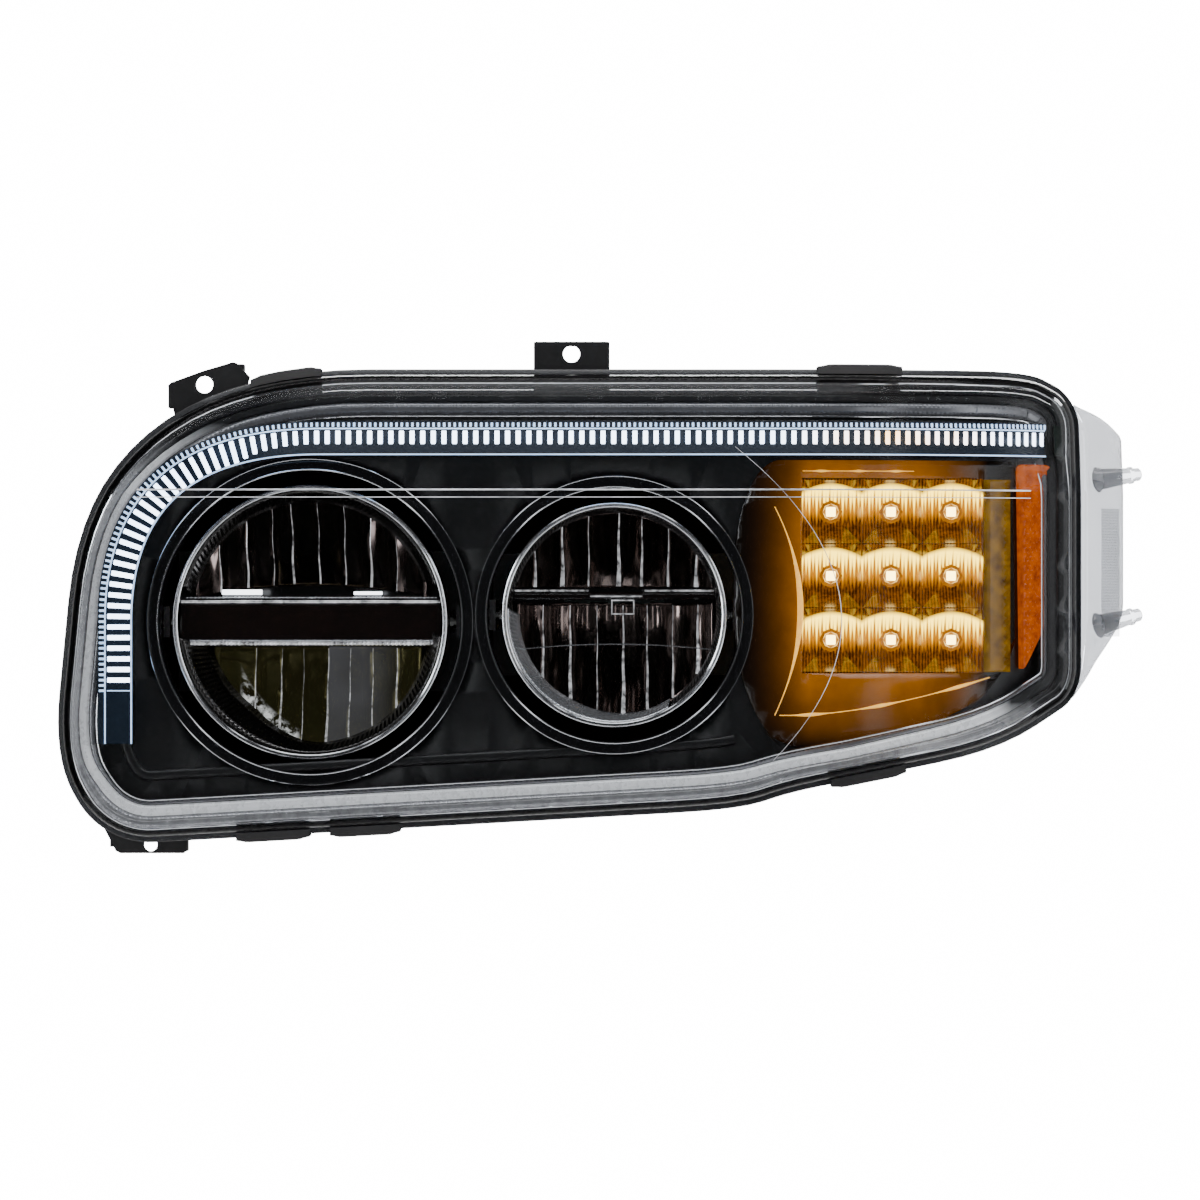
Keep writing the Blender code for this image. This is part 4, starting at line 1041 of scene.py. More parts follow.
def facet_mirror(name, label, edges, low, high, material, hollow, waves, node, ridge=0.6):
    """A mirror between two heights that are functions of x, hollowed between its facet edges."""
    lamp = LAMPS[name]
    x0, z0 = lamp["centre"]
    columns = []
    for start, end in zip(edges, edges[1:]):
        columns += [(start, end, k / 8) for k in range(8)]
    columns.append((edges[-2], edges[-1], 1.0))
    rows = []
    for j in range(MIRROR_ROWS + 1):
        row = []
        for start, end, t in columns:
            x = start + (end - start) * t
            z = low(x) + (high(x) - low(x)) * j / MIRROR_ROWS
            shift = waves * math.sin(z * 0.19 + start * 0.7) * (1 - smooth_share(abs(x), 50, 70))
            dip = hollow * (1 - (2 * t - 1) ** 2) + 0.8 * math.sin(z * 0.11 + start)
            row.append(Vector((x0 + x + shift, bowl_depth(lamp, x0 + x, z0 + z) - 1.0 + dip, z0 + z)))
        rows.append(row)
    mesh = bmesh.new()
    bend_grid(mesh, rows, closed=False)
    body = f"{name}_module"
    finish_piece(
        mesh, f"{name}_{label}_mirror", body, material, "smoked_chrome", node, sharp=24, wall=1.4
    )
    mesh = bmesh.new()
    for index, edge in enumerate(edges[1:-1]):
        thick = ridge * (1.0 + 0.5 * math.sin(index * 2.4))
        rows = [[] for _ in range(4)]
        for j in range(MIRROR_ROWS + 1):
            z = low(edge) + (high(edge) - low(edge)) * (0.02 + 0.96 * j / MIRROR_ROWS)
            shift = waves * math.sin(z * 0.19 + edge * 0.7)
            width = thick * (0.25 + 0.75 * (1 - j / MIRROR_ROWS) ** 1.4)
            x = edge + shift
            y = bowl_depth(lamp, x0 + x, z0 + z) + 0.8 * math.sin(z * 0.11 + edge)
            corners = ((-width, -0.4), (-width * 0.4, -1.9), (width * 0.4, -1.9), (width, -0.4))
            for row, (across, rise) in zip(rows, corners):
                row.append(Vector((x0 + x + across, y - 0.8 + rise, z0 + z)))
        bar(mesh, rows)
    finish_piece(mesh, f"{name}_{label}_ridges", body, painted_glint_edge, "bright_chrome", sharp=70, fill=True)


def flute_ring(name, inner, outer, turns, material, count=150, label="flutes"):
    """A ring of radial flutes between two radii that are functions of the angle in degrees."""
    lamp = LAMPS[name]
    x0, z0 = lamp["centre"]
    start, end = turns
    stops = int(count * (end - start) / 360) * 2
    rows = []
    for j in range(5):
        row = []
        for k in range(stops + 1):
            degrees = start + (end - start) * k / stops
            reach = outer + (inner(degrees) - outer) * j / 4
            a = math.radians(degrees + 0.9 * j)
            x, z = x0 + reach * math.cos(a), z0 + reach * math.sin(a)
            tooth = 0.0 if j in (0, 4) else 0.75 * (k % 2)
            row.append(Vector((x, bowl_depth(lamp, x, z) - 3.0 - 4.0 * (1 - j / 4) - tooth, z)))
        rows.append(row)
    mesh = bmesh.new()
    bend_grid(mesh, rows, closed=False)
    finish_piece(mesh, f"{name}_{label}", f"{name}_module", material, "smoked_chrome", sharp=10, wall=0.8)


# Painted glint for facet ridges, shelf edges and the LED window frame: its emission stands in for reflected
# light.
glint = Finish("bright facet edge", (0.85, 0.85, 0.86), 0.16, 0.9)
spark = glint.noise(150.0, 4.0, 0.7)
glint.set(
    Base_Color=glint.blend(spark, (0.40, 0.38, 0.37), (0.98, 0.98, 0.98)),
    Emission_Color=glint.blend((spark * 3.2 - 1.2).clamp(), (0.05, 0.05, 0.05), (0.9, 0.9, 0.92)),
    Emission_Strength=0.9,
)
painted_glint_edge = glint.material
lit = glowing("lit LED window", (0.95, 0.95, 0.95), 0.3, 60.0, (0.80, 0.86, 0.95), (1.0, 1.0, 1.0), 5.0)


def arc_height(radius, x):
    """Height of a circle at x."""
    return math.sqrt(max(radius**2 - x**2, 0.0))


# %% [markdown]
# ## Lit and cut: the four mirrors
# The lower half of the low lamp has painted light from its LEDs: a painted sparkling patch at the inboard
# edge and a painted soft grey glow on the outboard side. Then each mirror gets its facet edges, its two
# heights and its finish, and rings of fine flutes close the gap to the trim ring.

# %% Painted light patches in the low-beam mirror
olive_with_painted_light = Finish("olive mirror with lit patches", (0.34, 0.31, 0.14), 0.12, 1.0)
x, _, z = olive_with_painted_light.axes()
from_x, from_z = x - LAMPS["low"]["centre"][0], z - LAMPS["low"]["centre"][1]
reach = (from_x * from_x + from_z * from_z).maths("SQRT")
rim_reach = (from_x + 43.0) * 0.39 + 64.0
painted_sparkle_area = ((reach - rim_reach + 9.0) / 5.0).clamp() * ((from_x + 47.0) / 4.0).clamp()
painted_sparkle_area = painted_sparkle_area * ((-7.0 - from_x) / 4.0).clamp()
painted_sparkle = painted_sparkle_area * ((olive_with_painted_light.noise(95.0, 4.0, 0.7) - 0.44) * 7.0).clamp()
painted_glow_area = ((from_x - 9.6) / 0.6).clamp() * ((58.0 - from_x) / 26.0).clamp()
grey = painted_glow_area * (0.35 + olive_with_painted_light.noise(28.0, 2.0) * 0.9)
warm = olive_with_painted_light.blend(olive_with_painted_light.noise(38.0, 4.0), (0.22, 0.20, 0.09), (0.36, 0.33, 0.15))
painted_soft_light = olive_with_painted_light.blend(grey.clamp(), (0.010, 0.009, 0.003), (0.075, 0.075, 0.08))
olive_with_painted_light.set(
    Base_Color=warm,
    Emission_Color=olive_with_painted_light.blend(painted_sparkle, painted_soft_light, (0.85, 0.86, 0.84)),
    Emission_Strength=1.0,
)

# %% Low-beam mirrors
upper_edges = [-74, -59, -42, -25.5, -13, 4, 21, 38, 55, 74]
facet_mirror(
    "low", "upper", upper_edges, lambda x: 23.5 - 8.0 * (x / 74.0) ** 2, lambda x: arc_height(80.5, x),
    smoked, 2.6, 0.35, ["low_upper_reflector"],
)
lower_edges = [-62, -37, -20.5, -6.4, 9.6, 24, 39, 55, 70]
facet_mirror(
    "low", "lower", lower_edges, lambda x: -arc_height(70.5 + 9.5 * smooth_share(x, -45, 5), x * 0.985),
    lambda x: -16.2, olive_with_painted_light.material, 2.4, 0.2, ["low_lower_reflector"],
)
flute_ring(
    "low", lambda a: 66.0 + 12.0 * smooth_share(a, 225, 275) - 2.0 * smooth_share(a, 300, 340), 84.6,
    (187, 353), pewter_dark,
)
flute_ring("low", lambda a: 77.0, 84.6, (16, 164), pewter_dark, label="flutes_top")

# %% High-beam mirrors
high_upper = [-63, -51, -33.5, -16.5, 3, 18, 35, 53, 63]
facet_mirror(
    "high", "upper", high_upper, lambda x: 17.5, lambda x: arc_height(66.5, x), smoked, 2.4, 0.2,
    ["high_upper_reflector"], ridge=1.15,
)
high_lower = [-62, -46, -28.5, -11, 6, 21.5, 38, 54, 63]
facet_mirror(
    "high", "lower", high_lower, lambda x: -arc_height(66.5, x), lambda x: 7.5, smoked, 2.4, 0.2,
    ["high_lower_reflector"], ridge=1.0,
)
flute_ring("high", lambda a: 61.0 + 3.5 * smooth_share(a, 235, 290), 69.0, (176, 300), silver)
flute_ring("high", lambda a: 65.5, 69.0, (-58, 174), pewter_dark, label="flutes_top")

# %% [markdown]
# ## Shelves, LED windows and trim rings
# A shelf crosses each bowl and carries the LED boards. Its long front edges are metallised and beaded.
# The beads are a row whose height swells and shrinks. The trim ring that closes the bowl is spun.

# %% Shelf pieces


def shelf_strip(name, label, x0, x1, z, height, y, material, beads=0.0, arch=0.0):
    """A rounded strip across the lamp, optionally beaded or arched."""
    lamp = LAMPS[name]
    count = 260 if beads else 60
    rows = [[] for _ in range(8)]
    for k in range(count + 1):
        x = x0 + (x1 - x0) * k / count
        swell = 1.0 + beads * math.sin(x * 2 * math.pi / 2.6)
        lift = arch * (1 - (2 * k / count - 1) ** 2)
        for j, row in enumerate(rows):
            a = 2 * math.pi * (j + 0.5) / 8
            up, out = height / 2 * swell * math.sin(a), 1.2 * swell * math.cos(a)
            row.append(Vector((lamp["centre"][0] + x, y - out, lamp["centre"][1] + z + lift + up)))
    mesh = bmesh.new()
    bar(mesh, rows)
    finish_piece(mesh, f"{name}_{label}", f"{name}_module", material, "bright_chrome", sharp=60, fill=True)


shelf_gloss = grained(
    "shelf gloss black", (0.003, 0.002, 0.002), (0.01, 0.004, 0.003), 0.09, 0.05, 180.0, 0.04
)
SHELF_FRONT, SHELF_DEPTH = FRONT + 55.0, 36
for name, half, low, high in (("low", 84.0, -12.0, 12.0), ("high", 67.5, 10.0, 14.5)):
    lamp = LAMPS[name]
    x0, z0 = lamp["centre"]
    mesh = bmesh.new()
    profile = [(SHELF_FRONT + SHELF_DEPTH, low), (SHELF_FRONT + 1, low), (SHELF_FRONT, low + 1)]
    for k in range(1, 6):
        hollow = 0.8 * math.sin(math.pi * k / 6)
        profile.append((SHELF_FRONT + hollow + 0.2, low + (high - low) * k / 6))
    profile += [(SHELF_FRONT, high - 1), (SHELF_FRONT + 1, high), (SHELF_FRONT + SHELF_DEPTH, high)]
    rows = []
    for y, z in profile:
        back = (y - SHELF_FRONT) / SHELF_DEPTH
        reach = min(half, math.sqrt(half**2 - z**2)) * (1 - 0.25 * max(back, 0) ** 2)
        rows.append([Vector((x0 + reach * (2 * k / 40 - 1), y, z0 + z)) for k in range(41)])
    bar(mesh, rows)
    piece, body, node = f"{name}_shelf_body", f"{name}_module", f"{name}_shelf"
    finish_piece(mesh, piece, body, shelf_gloss, "gloss_black", [node], fill=True)

# Strips in the painted glint finish carry painted highlights; the silver ones are plain trim.
for name, label, x0, x1, z, height, y, material, *form in (
    ("low", "shelf_top_edge", -83.5, 83.5, 13.0, 2.0, -0.2, painted_glint_edge),
    ("low", "shelf_top_beads", -81, 81, 15.6, 1.1, 2.0, silver, 0.35),
    ("low", "shelf_low_edge", -83.0, 83.0, -12.2, 1.4, -0.2, silver),
    ("low", "shelf_low_beads", -82.5, 82.5, -14.0, 2.2, 0.6, painted_glint_edge, 0.3),
    ("high", "divider_left", -66.5, -16.5, 15.6, 1.3, -0.2, painted_glint_edge),
    ("high", "divider_right", 19.5, 66.5, 15.6, 1.3, -0.2, painted_glint_edge),
    ("high", "divider_middle", -15.5, 18.0, 12.0, 1.0, -0.9, painted_glint_edge),
    ("high", "arc_line", -64.0, 64.0, -22.5, 0.9, 4.0, silver, 0.0, 3.6),
):
    shelf_strip(name, label, x0, x1, z, height, SHELF_FRONT + y, material, *form)

for name, x0, x1, z0, z1 in (
    ("low_led_window_left", -57.5, -31.5, 17.4, 20.8), ("low_led_window_right", 27.5, 46.0, 17.4, 19.6),
):
    x, z = LAMPS["low"]["centre"]
    mesh = bmesh.new()
    low, high = (x + x0, SHELF_FRONT + 3.0, z + z0), (x + x1, SHELF_FRONT + 7.0, z + z1)
    bevelled_box(mesh, low, high, 0.7, 3)
    finish_piece(mesh, name, "low_module", lit, "light_guide")

mesh = bmesh.new()
x, z = LAMPS["high"]["centre"]
for x0, x1, z0, z1 in ((-2, 13, 9.0, 9.8), (-2, 13, 0.2, 1.0), (-2, -1.2, 0.2, 9.8), (12.2, 13, 0.2, 9.8)):
    bevelled_box(mesh, (x + x0, SHELF_FRONT + 1, z + z0), (x + x1, SHELF_FRONT + 5, z + z1), 0.2, 1)
finish_piece(mesh, "high_led_window_frame", "high_module", painted_glint_edge, "bright_chrome")

RIM_RING = (
    (-3.0, 0), (-3.0, -5.0), (-2.7, -6.2), (-2.1, -6.6), (-1.7, -5.9), (-1.4, -5.9), (-1.1, -7.4),
    (-0.6, -8.0), (0, -7.6), (0.5, -6.4), (0.5, 0),
)
for name, lamp in LAMPS.items():
    mesh = bmesh.new()
    profile = [(lamp["radius"] + beside, y) for beside, y in RIM_RING]
    turned(mesh, lamp["centre"], FRONT + 49.7, profile, steps=144, ring=True)
    node = f"{name}_trim_ring"
    finish_piece(mesh, f"{name}_rim", f"{name}_module", chrome, "bright_chrome", [node])

# %% [markdown]
# ## The turn signal
# Nine square cells, each a small parabolic cup with an LED behind an octagonal collar. The cup is a
# stack of rings that go from a square to a circle. Lit, the upper half of each cup is white-hot and the
# lower half stays dark amber, so the glow is painted from the place inside the cell.

# %% Amber finishes
CELL_X, CELL_Z = (signal_high.x - signal_low.x) / 3, (signal_high.z - signal_low.z) / 3


def amber_plastic(name, roughness=0.18):
    """Amber plastic before it is lit, and the streaks in it."""
    finish = Finish(name, (0.30, 0.08, 0.01), roughness, 0.15)
    streak = finish.noise(120.0, 4.0, 0.65)
    finish.set(Base_Color=finish.blend(streak, (0.02, 0.005, 0.0), (0.10, 0.03, 0.001)))
    return finish, streak


def amber_painted_glow(name, dark, hot, strength, roughness=0.18):
    """Amber plastic with a painted glow along its streaks, for light from the turn signal."""
    finish, streak = amber_plastic(name, roughness)
    glow = finish.blend((streak * 2.2 - 0.6).clamp(), dark, hot)
    finish.set(Emission_Color=glow, Emission_Strength=strength)
    return finish


cups, _ = amber_plastic("lit amber cups")
x_mm, _, z_mm = cups.axes()
u = ((x_mm - signal_low.x) / CELL_X).maths("FRACT") - 0.5
v = ((z_mm - signal_low.z) / CELL_Z).maths("FRACT") - 0.5
fan = (x_mm * 2.6).maths("SINE") * 0.05 + (x_mm * 1.1).maths("SINE") * 0.03
under_arch = ((u * u * -0.55 - v + 0.45) * 13.0).clamp()
lit_part = under_arch * ((v + 0.16 + fan) * 6.5).clamp()
white_part = under_arch * ((v - 0.08 + fan * 2.2) * 5.0).clamp()
streaks = ((x_mm * 3.1).maths("SINE") * 0.25 + cups.noise(210.0, 4.0, 0.75) * 1.9 - 0.72).clamp()
amber_part = cups.blend(streaks * 0.8, (0.016, 0.004, 0.0), (0.58, 0.17, 0.0))
yellow_part = cups.blend(lit_part, amber_part, (1.0, 0.34, 0.0))
cups.set(Emission_Color=cups.blend(white_part, yellow_part, (6.5, 4.3, 0.35)), Emission_Strength=1.0)

# The pocket wall's emission and its lighter base colour near the cells are painted amber light from the
# signal.
pocket, _ = amber_plastic("amber pocket wall")
px, _, pz = pocket.axes()
from_left = ((px - signal_low.x + 44.0) / 48.0).clamp()
to_right = ((signal_high.x + 4.0 - px) / 44.0).clamp()
up_down = (1.0 - ((pz - 12.0) / 108.0).maths("ABSOLUTE").maths("POWER", 2.0)).clamp()
painted_glow_share = from_left * from_left * from_left * to_right * up_down
cloudy = painted_glow_share * (0.35 + pocket.noise(38.0, 4.0, 0.6) * 1.1)
pocket.set(
    Emission_Color=pocket.blend(cloudy.clamp(), (0.0012, 0.0003, 0.0), (0.60, 0.185, 0.0)),
    Emission_Strength=1.0,
    Base_Color=pocket.blend(painted_glow_share, (0.004, 0.002, 0.001), (0.05, 0.015, 0.001)),
)
led_amber = glowing("amber LED", (1.0, 0.6, 0.1), 0.3, 400.0, (1.0, 0.66, 0.12), (1.0, 0.84, 0.36), 11.0)
prism_amber = amber_painted_glow("amber prism", (0.30, 0.030, 0.0), (0.95, 0.16, 0.0), 0.75, 0.14)
collar_amber = amber_painted_glow("amber collar", (0.34, 0.10, 0.0), (0.95, 0.32, 0.0), 0.8)
painted_amber_glint = Finish("amber glint", (1.0, 0.6, 0.2), 0.2)
fleck = (painted_amber_glint.noise(240.0, 4.0, 0.8) * 3.0 - 1.2).clamp()
painted_amber_glint.set(
    Emission_Color=painted_amber_glint.blend(fleck, (0.75, 0.27, 0.0), (1.0, 0.52, 0.02)), Emission_Strength=1.5
)

# %% Signal cups, collars and LEDs
mesh = bmesh.new()
collars = bmesh.new()
chips = bmesh.new()
SIGNAL_FRONT = signal_low.y
CUP_DEPTH, CUP_HOLE, LED_HALF, BAR_HALF = 18.0, 6.2, 3.1, 0.45
COLLAR = ((7.8, 17.5), (7.4, 14), (5.4, 13.4), (4.4, 16), (2.9, 16.6), (2.9, 18))
for column in range(3):
    for row_number in range(3):
        cx = signal_low.x + CELL_X * (column + 0.5)
        cz = signal_low.z + CELL_Z * (row_number + 0.5)
        rows = []
        for share in (0.0, 0.06, 0.2, 0.4, 0.6, 0.8, 0.93, 1.0):
            row = []
            y = SIGNAL_FRONT + 0.8 + CUP_DEPTH * math.sin(share * math.pi / 2)
            for a in angles(32):
                c, s = math.cos(a), math.sin(a)
                square = 1.0 / max(abs(c), abs(s))
                edge_x, edge_z = (CELL_X / 2 - 0.4) * square * c, (CELL_Z / 2 - 0.4) * square * s
                x = edge_x * (1 - share) + CUP_HOLE * c * share
                z = edge_z * (1 - share) + CUP_HOLE * s * share
                row.append(Vector((cx + x, y, cz + z)))
            rows.append(row)
        bend_grid(mesh, rows)
        turned(collars, (cx, cz), SIGNAL_FRONT, COLLAR, steps=8, ring=True)
        low = (cx - LED_HALF, SIGNAL_FRONT + 14.5, cz - LED_HALF)
        bevelled_box(chips, low, (cx + LED_HALF, SIGNAL_FRONT + 17.5, cz + LED_HALF), 0.8, 2)
bar_front, bar_back = SIGNAL_FRONT - 0.4, SIGNAL_FRONT + 3
for index in range(4):
    x = signal_low.x + CELL_X * index
    low, high = (x - BAR_HALF, bar_front, signal_low.z), (x + BAR_HALF, bar_back, signal_high.z)
    bevelled_box(mesh, low, high, 0.3, 1)
    z = signal_low.z + CELL_Z * index
    low, high = (signal_low.x, bar_front, z - BAR_HALF), (signal_high.x, bar_back, z + BAR_HALF)
    bevelled_box(mesh, low, high, 0.3, 1)
fix_piece(mesh, "signal_cups", cups.material, "amber", ["signal_reflector"], sharp=40)
fix_piece(collars, "signal_collars", collar_amber.material, "amber", sharp=20)
fix_piece(chips, "signal_leds", led_amber, "amber")

# %% [markdown]
# ## The pocket round the signal
# The signal sits in a pocket of the bezel with painted amber light from it: a curved inboard wall with a
# painted bright edge, a fluted outboard wall with a painted glow and a floor with painted glints. They are
# sheets laid just in front of the bezel.

# %% Pocket walls and glints
pocket_outline = rounded(
    [
        (signal_high.x + 24, signal_high.z + 12, 6, 6), (signal_high.x + 24, -46, 30, 40),
        (signal_high.x - 20, -80, 30, 40), (signal_low.x - 6, -103, 26, 30),
        (signal_low.x - 44, -70, 40, 60), (signal_low.x - 44, signal_high.z + 12, 70, 30),
    ]
)
mesh = bmesh.new()
hole = rectangle(signal_low.x - 0.5, signal_high.x + 0.5, signal_low.z - 0.5, signal_high.z + 0.5)
xs, zs = stations(90, 270, 9.0, 200, 5.0), range(-96, 88, 12)
fill_sheet(mesh, [pocket_outline, hole], behind(bezel_face, -1.2), xs, zs)
fix_piece(mesh, "signal_pocket", pocket.material, "amber", wall=0.8)


def tube(mesh, points, radius, sides=8):
    """A rod along points, drawn as rings across the way it runs."""
    rows = [[] for _ in range(sides)]
    ends = len(points) - 1
    for k, p in enumerate(points):
        along = (points[min(k + 1, ends)] - points[max(k - 1, 0)]).normalized()
        side = along.cross(Vector((0, -1, 0))).normalized()
        up = side.cross(along)
        size = radius(k / ends) if callable(radius) else radius
        for a, row in zip(angles(sides), rows):
            row.append(p + side * size * math.cos(a) + up * size * math.sin(a))
    bar(mesh, rows)


def conic(a, b, c, steps=30):
    """A parabola from a to c that is pulled towards b."""
    shares = [k / steps for k in range(steps + 1)]
    return [a * (1 - t) ** 2 + b * 2 * t * (1 - t) + c * t * t for t in shares]


# These rods are painted amber glints: a crescent for the lit inboard edge, a line along the floor and one
# along the top.
mesh = bmesh.new()
glint_face = behind(bezel_face, -2.6)
crescent = conic(*flat((110, 58), (143, -6), (110, -76)))
tube(mesh, laid(crescent, glint_face), lambda t: 0.3 + 1.7 * math.sin(math.pi * t) ** 3)
floor_line = conic(*flat((113, -76), (168, -77), (250, -52)))
tube(mesh, laid(floor_line, glint_face), lambda t: 0.3 + 0.9 * abs(math.sin(t * 9.0)) ** 6)
top_line = [Vector((signal_low.x + k, signal_high.z + 5.0)) for k in range(0, 74, 2)]
tube(mesh, laid(top_line, glint_face), lambda t: 0.25 + 0.6 * abs(math.sin(t * 9.4)) ** 8)
fix_piece(mesh, "pocket_glints", painted_amber_glint.material, "amber", fill=True)

mesh = bmesh.new()
rows = []
flutes = 28
for j, beside in enumerate((1.5, 6, 13, 19)):
    x = signal_high.x + beside
    row = []
    for k in range(flutes * 2 + 1):
        z = signal_low.z + (signal_high.z - signal_low.z) * k / (flutes * 2)
        row.append(Vector((x, bezel_face(x, z) - 2.2 - 1.5 * ((k + j) % 2), z)))
    rows.append(row)
bend_grid(mesh, rows, closed=False)
# The fluted wall's streaks carry a painted glow of the signal's light.
side_wall = amber_painted_glow("fluted amber wall", (0.020, 0.010, 0.0), (0.42, 0.22, 0.0), 0.6)
fix_piece(mesh, "signal_side_wall", side_wall.material, "amber", sharp=10, wall=0.8)

# %% [markdown]
# ## Fine lines moulded into the lens
# Two hair-thin beads run across along the crease, and a third bends down where the wrap begins. They
# are rods half sunk in the lens face, with a painted bright, broken glint for light caught by the crease.

# %% Lens hairlines
# The hairlines' emission is a painted glint, broken up by noise.
hairline = Finish("lens hairline glint", (0.75, 0.76, 0.78), 0.1, 0.3)
broken = hairline.noise(26.0, 3.0, 0.7)
hairline.set(
    Base_Color=hairline.blend(broken, (0.30, 0.30, 0.31), (0.90, 0.90, 0.92)),
    Emission_Color=hairline.blend((broken * 3.0 - 1.0).clamp(), (0.03, 0.03, 0.035), (0.62, 0.62, 0.66)),
    Emission_Strength=1.0,
)

mesh = bmesh.new()
half_sunk = behind(lens_face, -0.15)
for z, radius in ((BEADS[1], 0.50), (BEADS[0], 0.26)):
    line = [Vector((x, z)) for x in range(int(LEFT) + 56, int(RIGHT) - 66, 4)]
    tube(mesh, laid(line, half_sunk), radius)
start_of_wrap = conic(*flat((84, 96), (206, -4), (108, -104)))
tube(mesh, laid(start_of_wrap, half_sunk), lambda t: 0.08 + 0.2 * math.sin(math.pi * t))
fix_piece(mesh, "lens_hairlines", hairline.material, "clear_lens", fill=True)

# %% [markdown]
# ## The side reflector
# A red-orange strip of corner prisms. Its outline is filled as a base plate, and small six-sided
# pyramids stand on it in a honeycomb, each a circle that is poked up in the middle.

# %% Reflector prisms
strip_low, strip_high = box_mm("side_reflector")
tip = rounded(
    [
        (strip_high.x, strip_high.z, 6, 6), (strip_high.x, -10, 20, 30),
        (strip_low.x + 2, strip_low.z, 5, 3), (strip_low.x, strip_high.z, 4, 4),
    ]
)


def inside(point, loop):
    """Whether a point lies within an outline."""
    odd = False
    for k, a in enumerate(loop):
        b = loop[k - 1]
        if (a.y > point.y) != (b.y > point.y):
            odd ^= point.x < (b.x - a.x) * (point.y - a.y) / (b.y - a.y) + a.x
    return odd


mesh = bmesh.new()
xs, zs = stations(strip_low.x + 4, strip_high.x, 4.0, 0, 4.0), range(-50, 86, 12)
fill_sheet(mesh, [tip], behind(bezel_face, -6.0), xs, zs)
# The prisms' glow is painted: light from the turn signal falling on the reflector.
prism = prism_amber.material
fix_piece(mesh, "side_reflector_base", prism, "amber", ["side_reflector"], wall=3.8)
mesh = bmesh.new()
pitch = 3.4
row_pitch = pitch * 0.866
shrunk = moved_out(tip, -2.2)
for row_number in range(int((strip_high.z - strip_low.z) / row_pitch)):
    for column in range(8):
        x = strip_low.x + 1.0 + pitch * (column + 0.5 * (row_number % 2))
        z = strip_low.z + row_pitch * row_number
        if not inside(Vector((x, z)), shrunk):
            continue
        slope = bezel_face(x + 1, z) - bezel_face(x, z)
        lie = Matrix(((1, 0, 0), (slope, 0, -1), (0, 1, 0))).to_4x4()
        place = Matrix.Translation((x, bezel_face(x, z) - 6.0, z)) @ lie
        made = bmesh.ops.create_circle(mesh, cap_ends=True, segments=6, radius=pitch * 0.56, matrix=place)
        faces = list({f for v in made["verts"] for f in v.link_faces})
        poked = bmesh.ops.poke(mesh, faces=faces)
        for vert in poked["verts"]:
            vert.co.y -= 1.1
fix_piece(mesh, "side_reflector_prisms", prism, "amber", sharp=5)

# %% [markdown]
# ## The back of the lamp
# From behind come the service caps with their grip bars, the aiming knobs, the breathers, the sockets
# with their contacts, the finned LED driver, and the ribs that stiffen the tub. Round ones are spun;
# a row of small blocks round an edge makes the finger grips.

# %% Caps and knobs


def knurls(bm, centre, radius, y0, y1, count, size):
    """Small rounded blocks round an edge."""
    x, z = centre
    for a in angles(count):
        place = Matrix.Translation((x + radius * math.cos(a), (y0 + y1) / 2, z + radius * math.sin(a)))
        turn = Matrix.Rotation(-a, 4, "Y")
        block(bm, place @ turn @ Matrix.Diagonal((size, y1 - y0, size * 1.3, 1)), size * 0.22)


KNOB = (
    (0, -12.8), (3.1, -12.8), (3.1, 0), (9.6, 0), (9.6, 6.4), (8.8, 8.3), (5.0, 8.3), (4.2, 7.4),
    (3.4, 4.4), (0, 4.4),
)
for name, lamp in LAMPS.items():
    cap, centre = lamp["cap"], lamp["centre"]
    plug = cap - 8.2
    mesh = bmesh.new()
    profile = [
        (0, -6), (plug - 0.8, -6), (plug, -5), (plug, 2.8), (cap - 2.5, 2.8), (cap - 2.5, 0.6),
        (cap - 0.9, 0.6), (cap - 0.9, 4.2), (cap - 1.8, 5), (cap - 7, 5), (cap - 8, 4.2), (cap - 10, 4.2),
        (cap - 11, 5), (cap * 0.36, 5), (cap * 0.33, 4.0), (0, 4.0),
    ]
    turned(mesh, centre, BACK, profile)
    knurls(mesh, centre, cap - 1.1, BACK + 0.9, BACK + 4.6, 48, 1.8)
    x, z = centre
    grip = cap * 0.75
    bevelled_box(mesh, (x - grip, BACK + 3.0, z - 5), (x + grip, REAR, z + 5), 1.8, 3)
    for side in (-1, 1):
        pad = x + side * grip * 0.55
        low, high = (pad - 9, BACK + 3.0, z - 6.4), (pad + 9, REAR - 2.5, z + 6.4)
        bevelled_box(mesh, low, high, 1.2, 2)
    finish_piece(mesh, f"{name}_cap_cover", f"{name}_cap", satin_black, "satin_black", [f"{name}_rear_cap"])
    x, z = lamp["stud"]
    outer = BACK + 0.8
    mesh = bmesh.new()
    turned(mesh, (x, z), outer, KNOB, steps=64)
    knurls(mesh, (x, z), 9.6, outer + 0.2, outer + 6.6, 18, 1.9)
    node = f"{name}_adjuster_knob"
    finish_piece(mesh, f"{name}_knob", f"{name}_knob", white_moulding, "gloss_black", [node])

BREATHER = (
    (0, -6), (4.2, -6), (4.2, 0.3), (7, 0.3), (8.2, 2), (8.6, 3), (8.6, 6.6), (7.8, 7.8), (3.4, 7.8),
    (2.6, 6.4), (0, 6.4),
)
for name, centre in VENTS.items():
    mesh = bmesh.new()
    turned(mesh, centre, BACK, BREATHER, steps=48)
    knurls(mesh, centre, 8.3, BACK + 3.0, BACK + 7.0, 12, 1.4)
    node = f"breather_vent_{name}"
    fix_piece(mesh, f"breather_{name}", rubber, "rubber", [node])

